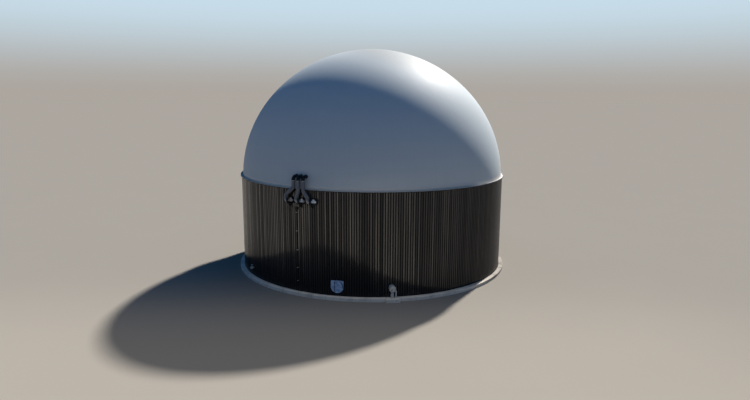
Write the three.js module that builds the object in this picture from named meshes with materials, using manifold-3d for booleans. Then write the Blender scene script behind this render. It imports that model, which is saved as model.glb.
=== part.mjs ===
// Biogas digester: a round insulated steel tank on a concrete slab, closed by an air-held membrane dome.
// Millimetres, +Z up. The origin is on the tank's axis at the underside of the slab.
// Azimuth 0 faces -Y, and azimuths grow towards +X.

import * as THREE from 'three';
import { mergeVertices } from 'three/addons/utils/BufferGeometryUtils.js';
import Module from 'manifold-3d';

const wasm = await Module();
wasm.setup();

// Driving dimensions of the tank

const SLAB_RADIUS = 13080;
const SLAB_HEIGHT = 280;
const SHELL_INNER_RADIUS = 12450;
const SHELL_OUTER_RADIUS = 12520;
const CLADDING_RADIUS = 12684;
const CLADDING_LIFT = 40;
const WALL_TOP = 8845;
const RIM_OUTER_RADIUS = 12780;
const RIM_FLOOR = 40;
const RIM_UPSTAND = 115;
const RIM_DRIP = 50;
const RIM_SHEET = 25;

// Driving dimensions of the dome

const DOME_RADIUS = 12550;
const DOME_SPRING = 8740;
const DOME_RISE = 11980;
const DOME_EXPONENT = 1.97;
const MEMBRANE_THICKNESS = 40;
const CROWN_ANGLE = 74;

// How the round pieces are divided

const FACET_DEGREES = 6;
const SHELL_SEGMENTS = 4;
const CLADDING_SEGMENTS = 6;
const RIM_SEGMENTS = 4;
const GORES = 6;
const GORE_STEPS = 9;
const CROWN_STEPS = 2;
const JOINT_GAP = 0.6;
const FIT_GAP = 0.3;
const WELD_TOLERANCE = 0.001;

// Pieces that stand on the wall start this far inside its face, and are then cut back to it
const SEAT_DEPTH = 200;
const CUTTER_DEPTH = 500;
const CUTTER_BOTTOM = -1000;
const CUTTER_TOP = 12000;
const CUTTER_AZIMUTHS = [-72, 24];
const DOME_CUTTER_FOOT = 6000;
const DOME_CUTTER_HEAD = 1000;

// Air supply of the dome: azimuths in degrees, distances from the tank's axis

const AIR_LINES = 3;
const ELBOW_AZIMUTH = -26.95;
const ELBOW_PITCH = 2.05;
const ELBOW_HEIGHT = 9930;
const ELBOW_RADIUS = 155;
const ELBOW_BEND = 250;
const ELBOW_STEPS = 10;
const ELBOW_ENTRY = 150;
const ELBOW_FLANGE_RADIUS = 175;
const ELBOW_FLANGE_THICKNESS = 30;
const ELBOW_FLANGE_ENTRY = 60;
const CLAMP_RADIUS = 188;
const CLAMP_HEIGHT = 100;
const HOSE_AZIMUTH = -27.95;
const HOSE_PITCH = 4.75;
const HOSE_AXIS_RADIUS = 12960;
const HOSE_RADIUS = 160;
const HOSE_FOOT_HEIGHT = 7930;
const HOSE_BEND = 190;
const HOSE_END = 200;
const HOSE_SIDES = 10;
const HOSE_STEPS = 22;
const HOSE_DROP_POINTS = 8;
const HOSE_SWINGS = [[0.25, 0.92], [0.5, 0.97], [0.47, 0.95]];
const BEND_POINTS = 5;
const CUFF_RADIUS = 172;
const CUFF_LENGTH = 28;
const SCROLL_RADIUS = 214;
const SCROLL_LENGTH = 192;
const SCROLL_RISE = 45;
const SCROLL_FLANGE = 11;
const SCROLL_FLANGE_THICKNESS = 14;
const SHELF_DROP = 226;
const FOOT_HEIGHT = 110;
const SCROLL_FOOT = [150, 240];
const MOTOR_RADIUS = 140;
const MOTOR_LENGTH = 320;
const MOTOR_FOOT = [110, 190];
const TERMINAL_BOX = [130, 120, 220];
const TERMINAL_BOX_SET_BACK = 120;
const BRACKET_PLATE = 12;
const BRACKET_WIDTH = 240;
const BRACKET_HEIGHT = 370;
const BRACKET_OFFSET = 300;
const SHELF_START = 210;
const SHELF_WIDTH = 460;
const SHELF_REACH = 13110;
const GUSSET_HEIGHT = 350;
const GUSSET_SET_BACK = 60;

// Cable conduit under the blowers

const CONDUIT_AZIMUTH = -28.6;
const CONDUIT_RADIUS = 38;
const CONDUIT_STAND_OFF = 62;
const CONDUIT_BOTTOM = 330;
const CONDUIT_TOP = 7420;
const CLIP_HEIGHTS = [1180, 2310, 3820, 5420, 6980];
const CLIP_WIDTH = 150;
const CLIP_HEIGHT = 70;
const CLIP_WRAP = 20;

// Manway

const MANWAY_AZIMUTH = -12.4;
const MANWAY_HEIGHT = 1090;
const MANWAY_BORE_RADIUS = 400;
const MANWAY_NECK_WALL = 16;
const MANWAY_INTRUSION = 60;
const BORE_OVERRUN = 10;
const MANWAY_FLANGE_RADIUS = 520;
const MANWAY_FLANGE_FACE = 12765;
const MANWAY_PLATE = 30;
const MANWAY_CUT_RADIUS = 640;
const FILM_RADIUS = 545;
const FILM_TOP = 525;
const FILM_THICKNESS = 12;

// Outlet with its two pipes and plinth

const OUTLET_AZIMUTH = 7.75;
const OUTLET_HEIGHT = 1060;
const OUTLET_PIPE_RADIUS = 125;
const OUTLET_AXIS_RADIUS = 12880;
const OUTLET_FLANGE_RADIUS = 270;
const OUTLET_FLANGE_FACE = 13090;
const OUTLET_PLATE = 32;
const OUTLET_CUT_RADIUS = 340;
const OUTLET_PAD_RADIUS = 250;
const PAD_THICKNESS = 20;
const TEE_CLEARANCE = 30;
const SIDE_PIPE_RADIUS = 70;
const SIDE_PIPE_OFFSET = 300;
const SIDE_PIPE_HEIGHT = 900;
const SIDE_PIPE_BEND = 110;
const SIDE_PIPE_STEPS = 12;
const PIPE_FOOT_RADIUS_GAIN = 35;
const PIPE_FOOT_HEIGHT = 25;
const PLINTH_WIDTH = 1180;
const PLINTH_DEPTH = 240;

// Sampling valve

const VALVE_AZIMUTH = -57.1;
const VALVE_HEIGHT = 1000;
const VALVE_PIPE_RADIUS = 55;
const VALVE_CUT_RADIUS = 180;
const VALVE_REACH = 12960;
const VALVE_BODY_SET_BACK = 120;
const VALVE_BODY_RADIUS = 95;
const VALVE_BODY_HALF_HEIGHT = 110;
const VALVE_FLANGE_RADIUS = 115;
const VALVE_FLANGE_THICKNESS = 30;
const STEM_RADIUS = 28;
const STEM_RISE = 260;
const WHEEL_RADIUS = 110;
const WHEEL_RISE = 250;
const WHEEL_THICKNESS = 30;

const FINE_SIDES = 20;
const COARSE_SIDES = 12;

// Materials

function finish(name, color, roughness, metalness) {
  return new THREE.MeshStandardMaterial({ name, color, roughness, metalness });
}

const concrete = finish('concrete', 0x8f9295, 0.9, 0);
const glassLinedSteel = finish('glass_lined_steel', 0x1d3350, 0.3, 0.2);
const blackSheet = finish('black_sheet', 0x232428, 0.38, 0.3);
const galvanised = finish('galvanised', 0xa9adb1, 0.45, 0.9);
const whiteMembrane = finish('white_membrane', 0xd9dde2, 0.45, 0);
const greyHose = finish('grey_hose', 0x6d7178, 0.6, 0);
const blackPlastic = finish('black_plastic', 0x121316, 0.45, 0);
const blackPaint = finish('black_paint', 0x16181b, 0.4, 0.2);
const motorGrey = finish('motor_grey', 0xa8b1bb, 0.45, 0.3);
const blueFilm = finish('blue_film', 0x9fb4cf, 0.35, 0);
const pipeSteel = finish('pipe_steel', 0x9a9ea2, 0.4, 0.9);

// Shapes

const radians = THREE.MathUtils.degToRad;

function polar(azimuth, radius, height) {
  const angle = radians(azimuth);
  return new THREE.Vector3(radius * Math.sin(angle), -radius * Math.cos(angle), height);
}

// A closed profile of [radius, height] points, anticlockwise, carried round the axis through the azimuths.
function sweep(profile, azimuths) {
  const positions = [];
  for (const azimuth of azimuths) {
    for (const [radius, height] of profile) {
      positions.push(...polar(azimuth, radius, height).toArray());
    }
  }
  const count = profile.length;
  const indices = [];
  for (let station = 0; station < azimuths.length - 1; station += 1) {
    for (let point = 0; point < count; point += 1) {
      const here = station * count + point;
      const beside = station * count + ((point + 1) % count);
      indices.push(here, here + count, beside, beside, here + count, beside + count);
    }
  }
  const outline = profile.map(([radius, height]) => new THREE.Vector2(radius, height));
  const last = (azimuths.length - 1) * count;
  for (const [a, b, c] of THREE.ShapeUtils.triangulateShape(outline, [])) {
    indices.push(a, b, c);
    indices.push(last + a, last + c, last + b);
  }
  const geometry = new THREE.BufferGeometry();
  geometry.setAttribute('position', new THREE.Float32BufferAttribute(positions, 3));
  geometry.setIndex(indices);
  return geometry;
}

// The azimuths of one of several like segments: whole facets, drawn in by half a joint gap at both ends.
function segmentAzimuths(index, segments, radius) {
  const span = 360 / segments;
  const start = index * span;
  const inset = THREE.MathUtils.radToDeg(JOINT_GAP / 2 / radius);
  const azimuths = [];
  for (let azimuth = start; azimuth <= start + span; azimuth += FACET_DEGREES) {
    azimuths.push(azimuth);
  }
  azimuths[0] += inset;
  azimuths[azimuths.length - 1] -= inset;
  return azimuths;
}

// The facets between two azimuths, wide enough to hold every piece that is cut to seat on the wall there.
function facetAzimuths(low, high) {
  const azimuths = [];
  const first = Math.floor(low / FACET_DEGREES) * FACET_DEGREES;
  for (let azimuth = first; azimuth < high + FACET_DEGREES; azimuth += FACET_DEGREES) {
    azimuths.push(azimuth);
  }
  return azimuths;
}

function rectangle(inner, outer, low, high) {
  return [[inner, low], [outer, low], [outer, high], [inner, high]];
}

function circle(radius, sides) {
  const shape = new THREE.Shape();
  for (let side = 0; side < sides; side += 1) {
    const angle = (2 * Math.PI * side) / sides;
    if (side === 0) {
      shape.moveTo(radius, 0);
    } else {
      shape.lineTo(radius * Math.cos(angle), radius * Math.sin(angle));
    }
  }
  shape.closePath();
  return shape;
}

// A rod that points away from the wall, in the frame of one azimuth, between two distances from the axis.
function outwardRod(radius, from, to, across, height, sides = FINE_SIDES) {
  const geometry = new THREE.CylinderGeometry(radius, radius, to - from, sides);
  geometry.translate(across, -(from + to) / 2, height);
  return geometry;
}

function upright(radius, low, high, across, distance, sides = FINE_SIDES) {
  const geometry = new THREE.CylinderGeometry(radius, radius, high - low, sides);
  geometry.rotateX(Math.PI / 2);
  geometry.translate(across, -distance, (low + high) / 2);
  return geometry;
}

// A block from one distance from the axis to another, in the frame of one azimuth.
function block(width, height, across, from, to, middle) {
  const geometry = new THREE.BoxGeometry(width, to - from, height);
  geometry.translate(across, -(from + to) / 2, middle);
  return geometry;
}

// A quarter turn in an upright plane, as [run, rise] pairs from the level end to the upright one.
function quarterTurn(bend) {
  const points = [];
  for (let step = 1; step <= BEND_POINTS; step += 1) {
    const angle = (Math.PI / 2) * (step / BEND_POINTS);
    points.push([bend * Math.sin(angle), bend * Math.cos(angle) - bend]);
  }
  return points;
}

// A round bar or pipe carried along a path, its ends closed.
function pipeAlong(path, radius, sides, steps) {
  return new THREE.ExtrudeGeometry(circle(radius, sides), { steps, bevelEnabled: false, extrudePath: path });
}

// A plate with the given outline in the plane of the wall, from one distance from the axis to another.
function outwardPlate(shape, from, to, height) {
  const options = { depth: to - from, bevelEnabled: false, curveSegments: COARSE_SIDES };
  const geometry = new THREE.ExtrudeGeometry(shape, options);
  geometry.rotateX(Math.PI / 2);
  geometry.translate(0, -from, height);
  return geometry;
}

// Joins and cuts

function solid(geometry) {
  const bare = geometry.clone();
  bare.deleteAttribute('normal');
  bare.deleteAttribute('uv');
  const merged = mergeVertices(bare, WELD_TOLERANCE);
  return new wasm.Manifold(new wasm.Mesh({
    numProp: 3,
    vertProperties: Float32Array.from(merged.attributes.position.array),
    triVerts: Uint32Array.from(merged.index.array),
  }));
}

function surface(body) {
  const mesh = body.getMesh();
  const geometry = new THREE.BufferGeometry();
  geometry.setAttribute('position', new THREE.Float32BufferAttribute(mesh.vertProperties, 3));
  geometry.setIndex(Array.from(mesh.triVerts));
  return geometry;
}

function join(...geometries) {
  return geometries.map(solid).reduce((whole, piece) => whole.add(piece));
}

function turned(geometry, azimuth) {
  return geometry.clone().rotateZ(radians(azimuth));
}

const digester = new THREE.Group();

function place(name, geometry, material, azimuth = 0) {
  const mesh = new THREE.Mesh(geometry, material);
  mesh.name = name;
  mesh.rotation.z = radians(azimuth);
  digester.add(mesh);
}

// Dome profile: a superellipse from the clamp at its foot up to its top

const domeFloor = WALL_TOP + RIM_FLOOR + FIT_GAP;
const footAngle = Math.asin(((domeFloor - DOME_SPRING) / DOME_RISE) ** (DOME_EXPONENT / 2));

function domePoint(angle, inset) {
  const power = 2 / DOME_EXPONENT;
  const radius = (DOME_RADIUS - inset) * Math.cos(angle) ** power;
  const height = DOME_SPRING + (DOME_RISE - inset) * Math.sin(angle) ** power;
  return [radius, height];
}

function domeRow(from, to, steps, inset) {
  const points = [];
  for (let step = 0; step <= steps; step += 1) {
    points.push(domePoint(from + ((to - from) * step) / steps, inset));
  }
  return points;
}

// Cutters, each grown by the fit gap, that leave a seat on the wall, the shell, the dome or the slab

const facets = facetAzimuths(...CUTTER_AZIMUTHS);
const cutterInner = SHELL_INNER_RADIUS - CUTTER_DEPTH;
const shellCutter = sweep(
  rectangle(cutterInner, SHELL_OUTER_RADIUS + FIT_GAP, CUTTER_BOTTOM, CUTTER_TOP), facets);
const wallCutter = sweep(
  rectangle(cutterInner, CLADDING_RADIUS + FIT_GAP, CUTTER_BOTTOM, CUTTER_TOP), facets);
const slabCutter = sweep(
  rectangle(cutterInner, SLAB_RADIUS + FIT_GAP, CUTTER_BOTTOM, SLAB_HEIGHT + FIT_GAP), facets);
const domeSkin = domeRow(footAngle, radians(CROWN_ANGLE), GORE_STEPS, -FIT_GAP);
const domeFoot = [DOME_CUTTER_FOOT, domeSkin[0][1]];
const domeHead = [DOME_CUTTER_HEAD, domeSkin[GORE_STEPS][1]];
const domeCutter = sweep([domeFoot, ...domeSkin, domeHead], facets);

function seatedOn(cutter, azimuth, body) {
  return surface(body.subtract(solid(turned(cutter, -azimuth))));
}

// Slab

function addSlab() {
  const slab = new THREE.CylinderGeometry(SLAB_RADIUS, SLAB_RADIUS, SLAB_HEIGHT, 360 / FACET_DEGREES);
  slab.rotateX(Math.PI / 2);
  slab.translate(0, 0, SLAB_HEIGHT / 2);
  place('foundation_slab', slab, concrete);
}

// Tank wall, with the openings cut through it for the manway, the outlet and the sampling valve

function cutThrough(geometry, cuts) {
  let body = solid(geometry);
  for (const cut of cuts) {
    const rod = outwardRod(cut.radius, cutterInner, RIM_OUTER_RADIUS, 0, cut.height, 2 * FINE_SIDES);
    body = body.subtract(solid(turned(rod, cut.azimuth)));
  }
  return surface(body);
}

function addTankWall() {
  const neckHole = {
    azimuth: MANWAY_AZIMUTH,
    height: MANWAY_HEIGHT,
    radius: MANWAY_BORE_RADIUS + MANWAY_NECK_WALL + FIT_GAP,
  };
  const claddingCuts = [
    { azimuth: MANWAY_AZIMUTH, height: MANWAY_HEIGHT, radius: MANWAY_CUT_RADIUS },
    { azimuth: OUTLET_AZIMUTH, height: OUTLET_HEIGHT, radius: OUTLET_CUT_RADIUS },
    { azimuth: VALVE_AZIMUTH, height: VALVE_HEIGHT, radius: VALVE_CUT_RADIUS },
  ];
  const shellProfile = rectangle(SHELL_INNER_RADIUS, SHELL_OUTER_RADIUS, SLAB_HEIGHT, WALL_TOP - FIT_GAP);
  for (let index = 0; index < SHELL_SEGMENTS; index += 1) {
    const piece = sweep(shellProfile, segmentAzimuths(index, SHELL_SEGMENTS, SHELL_OUTER_RADIUS));
    place(`shell_wall_${index + 1}`, cutThrough(piece, [neckHole]), glassLinedSteel);
  }
  const claddingProfile = rectangle(
    SHELL_OUTER_RADIUS + FIT_GAP, CLADDING_RADIUS, SLAB_HEIGHT + CLADDING_LIFT, WALL_TOP - FIT_GAP);
  for (let index = 0; index < CLADDING_SEGMENTS; index += 1) {
    const piece = sweep(claddingProfile, segmentAzimuths(index, CLADDING_SEGMENTS, CLADDING_RADIUS));
    place(`cladding_${index + 1}`, cutThrough(piece, claddingCuts), blackSheet);
  }
}

// Rim: a flat ledge on the wall top with a raised outer lip that also drips down over the cladding

function addRim() {
  const lipInner = RIM_OUTER_RADIUS - RIM_SHEET;
  const profile = [
    [SHELL_INNER_RADIUS, WALL_TOP],
    [lipInner, WALL_TOP],
    [lipInner, WALL_TOP - RIM_DRIP],
    [RIM_OUTER_RADIUS, WALL_TOP - RIM_DRIP],
    [RIM_OUTER_RADIUS, WALL_TOP + RIM_UPSTAND],
    [lipInner, WALL_TOP + RIM_UPSTAND],
    [lipInner, WALL_TOP + RIM_FLOOR],
    [SHELL_INNER_RADIUS, WALL_TOP + RIM_FLOOR],
  ];
  for (let index = 0; index < RIM_SEGMENTS; index += 1) {
    const piece = sweep(profile, segmentAzimuths(index, RIM_SEGMENTS, RIM_OUTER_RADIUS));
    place(`rim_flashing_${index + 1}`, piece, galvanised);
  }
}

// Dome: six gores and a crown, each a closed skin with its hollow side towards the gas space

function addDome() {
  const crown = radians(CROWN_ANGLE);
  const seam = JOINT_GAP / DOME_RADIUS;
  const outer = domeRow(footAngle, crown - seam, GORE_STEPS, 0);
  const inner = domeRow(footAngle, crown - seam, GORE_STEPS, MEMBRANE_THICKNESS).reverse();
  const drop = inner[GORE_STEPS][1] - outer[0][1];
  inner[GORE_STEPS] = [inner[GORE_STEPS][0], inner[GORE_STEPS][1] - drop];
  for (let index = 0; index < GORES; index += 1) {
    const piece = sweep([...outer, ...inner], segmentAzimuths(index, GORES, DOME_RADIUS));
    place(`dome_gore_${index + 1}`, piece, whiteMembrane);
  }
  const cap = domeRow(crown, Math.PI / 2, CROWN_STEPS, 0);
  const lining = domeRow(crown, Math.PI / 2, CROWN_STEPS, MEMBRANE_THICKNESS);
  cap[CROWN_STEPS][0] = 0;
  lining[CROWN_STEPS][0] = 0;
  const profile = [...lining.reverse(), ...cap];
  const points = profile.map(([radius, height]) => new THREE.Vector2(radius, height));
  const top = new THREE.LatheGeometry(points, 360 / FACET_DEGREES);
  top.rotateX(Math.PI / 2);
  place('dome_crown', top, whiteMembrane);
}

// Air supply: a blower, its motor and bracket on the wall, a hose, and an elbow into the foot of the dome

const elbowEnd = ELBOW_HEIGHT - ELBOW_BEND - CLAMP_HEIGHT;
const elbowAngle = Math.asin(((ELBOW_HEIGHT - DOME_SPRING) / DOME_RISE) ** (DOME_EXPONENT / 2));
const elbowReach = domePoint(elbowAngle, 0)[0];

function addElbow(number, azimuth) {
  const bendStart = HOSE_AXIS_RADIUS - ELBOW_BEND;
  const points = [
    new THREE.Vector3(0, -(elbowReach - ELBOW_ENTRY), ELBOW_HEIGHT),
    new THREE.Vector3(0, -bendStart, ELBOW_HEIGHT),
  ];
  for (const [run, rise] of quarterTurn(ELBOW_BEND)) {
    points.push(new THREE.Vector3(0, -(bendStart + run), ELBOW_HEIGHT + rise));
  }
  points.push(new THREE.Vector3(0, -HOSE_AXIS_RADIUS, elbowEnd));
  const curve = new THREE.CatmullRomCurve3(points, false, 'centripetal');
  const pipe = pipeAlong(curve, ELBOW_RADIUS, COARSE_SIDES, ELBOW_STEPS);
  const flange = outwardRod(
    ELBOW_FLANGE_RADIUS, elbowReach - ELBOW_FLANGE_ENTRY, elbowReach + ELBOW_FLANGE_THICKNESS,
    0, ELBOW_HEIGHT, COARSE_SIDES);
  const collar = upright(
    CLAMP_RADIUS, elbowEnd, elbowEnd + CLAMP_HEIGHT, 0, HOSE_AXIS_RADIUS, COARSE_SIDES);
  const elbow = seatedOn(domeCutter, azimuth, join(pipe, flange, collar));
  place(`dome_elbow_${number}`, elbow, blackPlastic, azimuth);
}

function addHose(number, elbowAzimuth, footAzimuth, window) {
  const route = [];
  for (let step = 0; step <= HOSE_DROP_POINTS; step += 1) {
    const down = step / HOSE_DROP_POINTS;
    const swing = THREE.MathUtils.smoothstep(down, ...window);
    const azimuth = THREE.MathUtils.lerp(elbowAzimuth, footAzimuth, swing);
    const height = THREE.MathUtils.lerp(elbowEnd - FIT_GAP, HOSE_FOOT_HEIGHT + HOSE_BEND, down);
    route.push(polar(azimuth, HOSE_AXIS_RADIUS, height));
  }
  const across = polar(footAzimuth + 90, 1, 0);
  const footPoint = polar(footAzimuth, HOSE_AXIS_RADIUS, 0);
  for (const [run, rise] of quarterTurn(HOSE_BEND)) {
    const point = footPoint.clone().addScaledVector(across, -rise);
    route.push(point.setZ(HOSE_FOOT_HEIGHT + HOSE_BEND - run));
  }
  route.push(footPoint.clone().addScaledVector(across, HOSE_END - FIT_GAP).setZ(HOSE_FOOT_HEIGHT));
  const curve = new THREE.CatmullRomCurve3(route, false, 'centripetal');
  place(`air_hose_${number}`, pipeAlong(curve, HOSE_RADIUS, HOSE_SIDES, HOSE_STEPS), greyHose);
}

// A round body that lies along the wall at the hoses' distance, from one place across to another.
function acrossRod(radius, from, to, height) {
  const geometry = new THREE.CylinderGeometry(radius, radius, to - from, FINE_SIDES);
  geometry.rotateZ(Math.PI / 2);
  geometry.translate((from + to) / 2, -HOSE_AXIS_RADIUS, height);
  return geometry;
}

// A block on the shelf, centred on the hose's distance from the tank's axis.
function standing([width, depth], height, across, bottom) {
  return block(
    width, height, across, HOSE_AXIS_RADIUS - depth / 2, HOSE_AXIS_RADIUS + depth / 2, bottom + height / 2);
}

const shaftHeight = HOSE_FOOT_HEIGHT + SCROLL_RISE;
const shelfTop = shaftHeight - SHELF_DROP;

// A blower's shaft lies along the wall: cuff on the hose's end, scroll between two rims, and the motor.
function addBlower(number, azimuth) {
  const start = HOSE_END + CUFF_LENGTH;
  const end = start + SCROLL_LENGTH;
  const rim = SCROLL_RADIUS + SCROLL_FLANGE;
  const cuff = acrossRod(CUFF_RADIUS, HOSE_END, start + SCROLL_FLANGE_THICKNESS, HOSE_FOOT_HEIGHT);
  const scroll = acrossRod(SCROLL_RADIUS, start, end, shaftHeight);
  const rims = [[start, start + SCROLL_FLANGE_THICKNESS], [end - SCROLL_FLANGE_THICKNESS, end]].map(
    ([from, to]) => acrossRod(rim, from, to, shaftHeight));
  const foot = standing(SCROLL_FOOT, FOOT_HEIGHT, (start + end) / 2, shelfTop + FIT_GAP);
  place(`blower_${number}`, surface(join(cuff, scroll, ...rims, foot)), blackPaint, azimuth);
  const motorStart = end + FIT_GAP;
  const motorEnd = end + MOTOR_LENGTH;
  const motorMiddle = (motorStart + motorEnd) / 2;
  const motor = acrossRod(MOTOR_RADIUS, motorStart, motorEnd, shaftHeight);
  const motorFoot = standing(MOTOR_FOOT, FOOT_HEIGHT, motorMiddle, shelfTop + FIT_GAP);
  const [boxWidth, boxDepth, boxRise] = TERMINAL_BOX;
  const boxMiddle = motorEnd - TERMINAL_BOX_SET_BACK - boxWidth / 2;
  const box = standing([boxWidth, boxDepth], boxRise, boxMiddle, shaftHeight);
  place(`blower_motor_${number}`, surface(join(motor, motorFoot, box)), motorGrey, azimuth);
  addBracket(number, azimuth);
}

// The bracket: a wall plate, a shelf under the blower and its motor, and a gusset below the shelf
function addBracket(number, azimuth) {
  const inside = CLADDING_RADIUS - SEAT_DEPTH;
  const shelfMiddle = shelfTop - BRACKET_PLATE / 2;
  const wallPlate = block(
    BRACKET_WIDTH, BRACKET_HEIGHT, BRACKET_OFFSET, inside, CLADDING_RADIUS + BRACKET_PLATE,
    shelfTop - BRACKET_HEIGHT / 2);
  const shelf = block(
    SHELF_WIDTH, BRACKET_PLATE, SHELF_START + SHELF_WIDTH / 2, inside, SHELF_REACH, shelfMiddle);
  const outline = new THREE.Shape();
  outline.moveTo(-SEAT_DEPTH, 0);
  outline.lineTo(SHELF_REACH - CLADDING_RADIUS - GUSSET_SET_BACK, 0);
  outline.lineTo(0, -GUSSET_HEIGHT);
  outline.lineTo(-SEAT_DEPTH, -GUSSET_HEIGHT);
  outline.closePath();
  const gusset = new THREE.ExtrudeGeometry(outline, { depth: BRACKET_PLATE, bevelEnabled: false });
  gusset.rotateX(Math.PI / 2);
  gusset.rotateZ(-Math.PI / 2);
  gusset.translate(BRACKET_OFFSET - BRACKET_PLATE / 2, -CLADDING_RADIUS, shelfMiddle);
  const bracket = seatedOn(wallCutter, azimuth, join(wallPlate, shelf, gusset));
  place(`blower_bracket_${number}`, bracket, blackPaint, azimuth);
}

function addAirSupply() {
  for (let line = 0; line < AIR_LINES; line += 1) {
    const shift = line - (AIR_LINES - 1) / 2;
    const elbowAzimuth = ELBOW_AZIMUTH + shift * ELBOW_PITCH;
    const footAzimuth = HOSE_AZIMUTH + shift * HOSE_PITCH;
    addElbow(line + 1, elbowAzimuth);
    addHose(line + 1, elbowAzimuth, footAzimuth, HOSE_SWINGS[line]);
    addBlower(line + 1, footAzimuth);
  }
}

// Cable conduit with its wall clips

function addConduit() {
  const distance = CLADDING_RADIUS + CONDUIT_STAND_OFF;
  const inside = CLADDING_RADIUS - SEAT_DEPTH;
  const pieces = [upright(CONDUIT_RADIUS, CONDUIT_BOTTOM, CONDUIT_TOP, 0, distance, HOSE_SIDES)];
  for (const height of CLIP_HEIGHTS) {
    pieces.push(block(CLIP_WIDTH, CLIP_HEIGHT, 0, inside, distance + CLIP_WRAP, height));
  }
  const conduit = seatedOn(wallCutter, CONDUIT_AZIMUTH, join(...pieces));
  place('cable_conduit', conduit, blackPlastic, CONDUIT_AZIMUTH);
}

// Manway: a flanged neck through the shell, its bolted cover, and the protective film over the cover

function filmOutline() {
  const shape = new THREE.Shape();
  const corner = Math.asin(FILM_TOP / FILM_RADIUS);
  shape.moveTo(FILM_RADIUS, 0);
  shape.lineTo(FILM_RADIUS, FILM_TOP);
  shape.lineTo(FILM_RADIUS * Math.cos(Math.PI - corner), FILM_TOP);
  shape.absarc(0, 0, FILM_RADIUS, Math.PI - corner, 2 * Math.PI, false);
  return shape;
}

function addManway() {
  const sides = 2 * FINE_SIDES;
  const face = MANWAY_FLANGE_FACE;
  const neckRadius = MANWAY_BORE_RADIUS + MANWAY_NECK_WALL;
  const start = SHELL_INNER_RADIUS - MANWAY_INTRUSION;
  const tube = outwardRod(neckRadius, start, face, 0, MANWAY_HEIGHT, sides);
  const flange = outwardRod(MANWAY_FLANGE_RADIUS, face - MANWAY_PLATE, face, 0, MANWAY_HEIGHT, sides);
  const bore = outwardRod(
    MANWAY_BORE_RADIUS, start - BORE_OVERRUN, face + BORE_OVERRUN, 0, MANWAY_HEIGHT, sides);
  place('manway_neck', surface(join(tube, flange).subtract(solid(bore))), pipeSteel, MANWAY_AZIMUTH);
  const coverBack = face + FIT_GAP;
  const coverFace = coverBack + MANWAY_PLATE;
  const cover = outwardRod(MANWAY_FLANGE_RADIUS, coverBack, coverFace, 0, MANWAY_HEIGHT, sides);
  place('manway_cover', cover, pipeSteel, MANWAY_AZIMUTH);
  const filmBack = coverFace + FIT_GAP;
  const film = outwardPlate(filmOutline(), filmBack, filmBack + FILM_THICKNESS, MANWAY_HEIGHT);
  place('manway_film', film, blueFilm, MANWAY_AZIMUTH);
}

// Outlet: a tee that ends in a blind flange, the drain pipe below it and the thinner pipe beside it

const teeBottom = OUTLET_HEIGHT - OUTLET_FLANGE_RADIUS - TEE_CLEARANCE;
const outletInside = SHELL_OUTER_RADIUS - SEAT_DEPTH;

function addTee() {
  const face = OUTLET_FLANGE_FACE;
  const run = outwardRod(OUTLET_PIPE_RADIUS, outletInside, face - OUTLET_PLATE, 0, OUTLET_HEIGHT);
  const branch = upright(OUTLET_PIPE_RADIUS, teeBottom, OUTLET_HEIGHT, 0, OUTLET_AXIS_RADIUS);
  const flange = outwardRod(OUTLET_FLANGE_RADIUS, face - 2 * OUTLET_PLATE, face, 0, OUTLET_HEIGHT);
  const pad = outwardRod(
    OUTLET_PAD_RADIUS, outletInside, SHELL_OUTER_RADIUS + PAD_THICKNESS, 0, OUTLET_HEIGHT);
  const tee = seatedOn(shellCutter, OUTLET_AZIMUTH, join(run, branch, flange, pad));
  place('outlet_tee', tee, pipeSteel, OUTLET_AZIMUTH);
}

function addDrainPipe() {
  const bottom = SLAB_HEIGHT + FIT_GAP;
  const drain = upright(OUTLET_PIPE_RADIUS, bottom, teeBottom - FIT_GAP, 0, OUTLET_AXIS_RADIUS);
  const foot = upright(
    OUTLET_PIPE_RADIUS + PIPE_FOOT_RADIUS_GAIN, bottom, SLAB_HEIGHT + PIPE_FOOT_HEIGHT,
    0, OUTLET_AXIS_RADIUS);
  place('drain_pipe', surface(join(drain, foot)), pipeSteel, OUTLET_AZIMUTH);
}

// The side pipe starts inside the tee's branch and is cut back to it, and it ends on the slab.
function addSidePipe() {
  const bendStart = SIDE_PIPE_OFFSET - SIDE_PIPE_BEND;
  const points = [
    new THREE.Vector3(OUTLET_PIPE_RADIUS / 2, -OUTLET_AXIS_RADIUS, SIDE_PIPE_HEIGHT),
    new THREE.Vector3(bendStart, -OUTLET_AXIS_RADIUS, SIDE_PIPE_HEIGHT),
  ];
  for (const [run, rise] of quarterTurn(SIDE_PIPE_BEND)) {
    points.push(new THREE.Vector3(bendStart + run, -OUTLET_AXIS_RADIUS, SIDE_PIPE_HEIGHT + rise));
  }
  points.push(new THREE.Vector3(SIDE_PIPE_OFFSET, -OUTLET_AXIS_RADIUS, SLAB_HEIGHT + FIT_GAP));
  const curve = new THREE.CatmullRomCurve3(points, false, 'centripetal');
  const pipe = pipeAlong(curve, SIDE_PIPE_RADIUS, COARSE_SIDES, SIDE_PIPE_STEPS);
  const stop = upright(OUTLET_PIPE_RADIUS + FIT_GAP, 0, OUTLET_HEIGHT, 0, OUTLET_AXIS_RADIUS);
  const floor = block(
    2 * PLINTH_WIDTH, 2 * SLAB_HEIGHT, 0, SHELL_OUTER_RADIUS, SLAB_RADIUS + PLINTH_DEPTH, FIT_GAP);
  const trimmed = solid(pipe).subtract(solid(stop)).subtract(solid(floor));
  place('side_pipe', surface(trimmed), pipeSteel, OUTLET_AZIMUTH);
}

function addPlinth() {
  const body = solid(block(
    PLINTH_WIDTH, SLAB_HEIGHT, 0, SLAB_RADIUS - SEAT_DEPTH, SLAB_RADIUS + PLINTH_DEPTH, SLAB_HEIGHT / 2));
  place('pipe_plinth', seatedOn(slabCutter, OUTLET_AZIMUTH, body), concrete, OUTLET_AZIMUTH);
}

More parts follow.
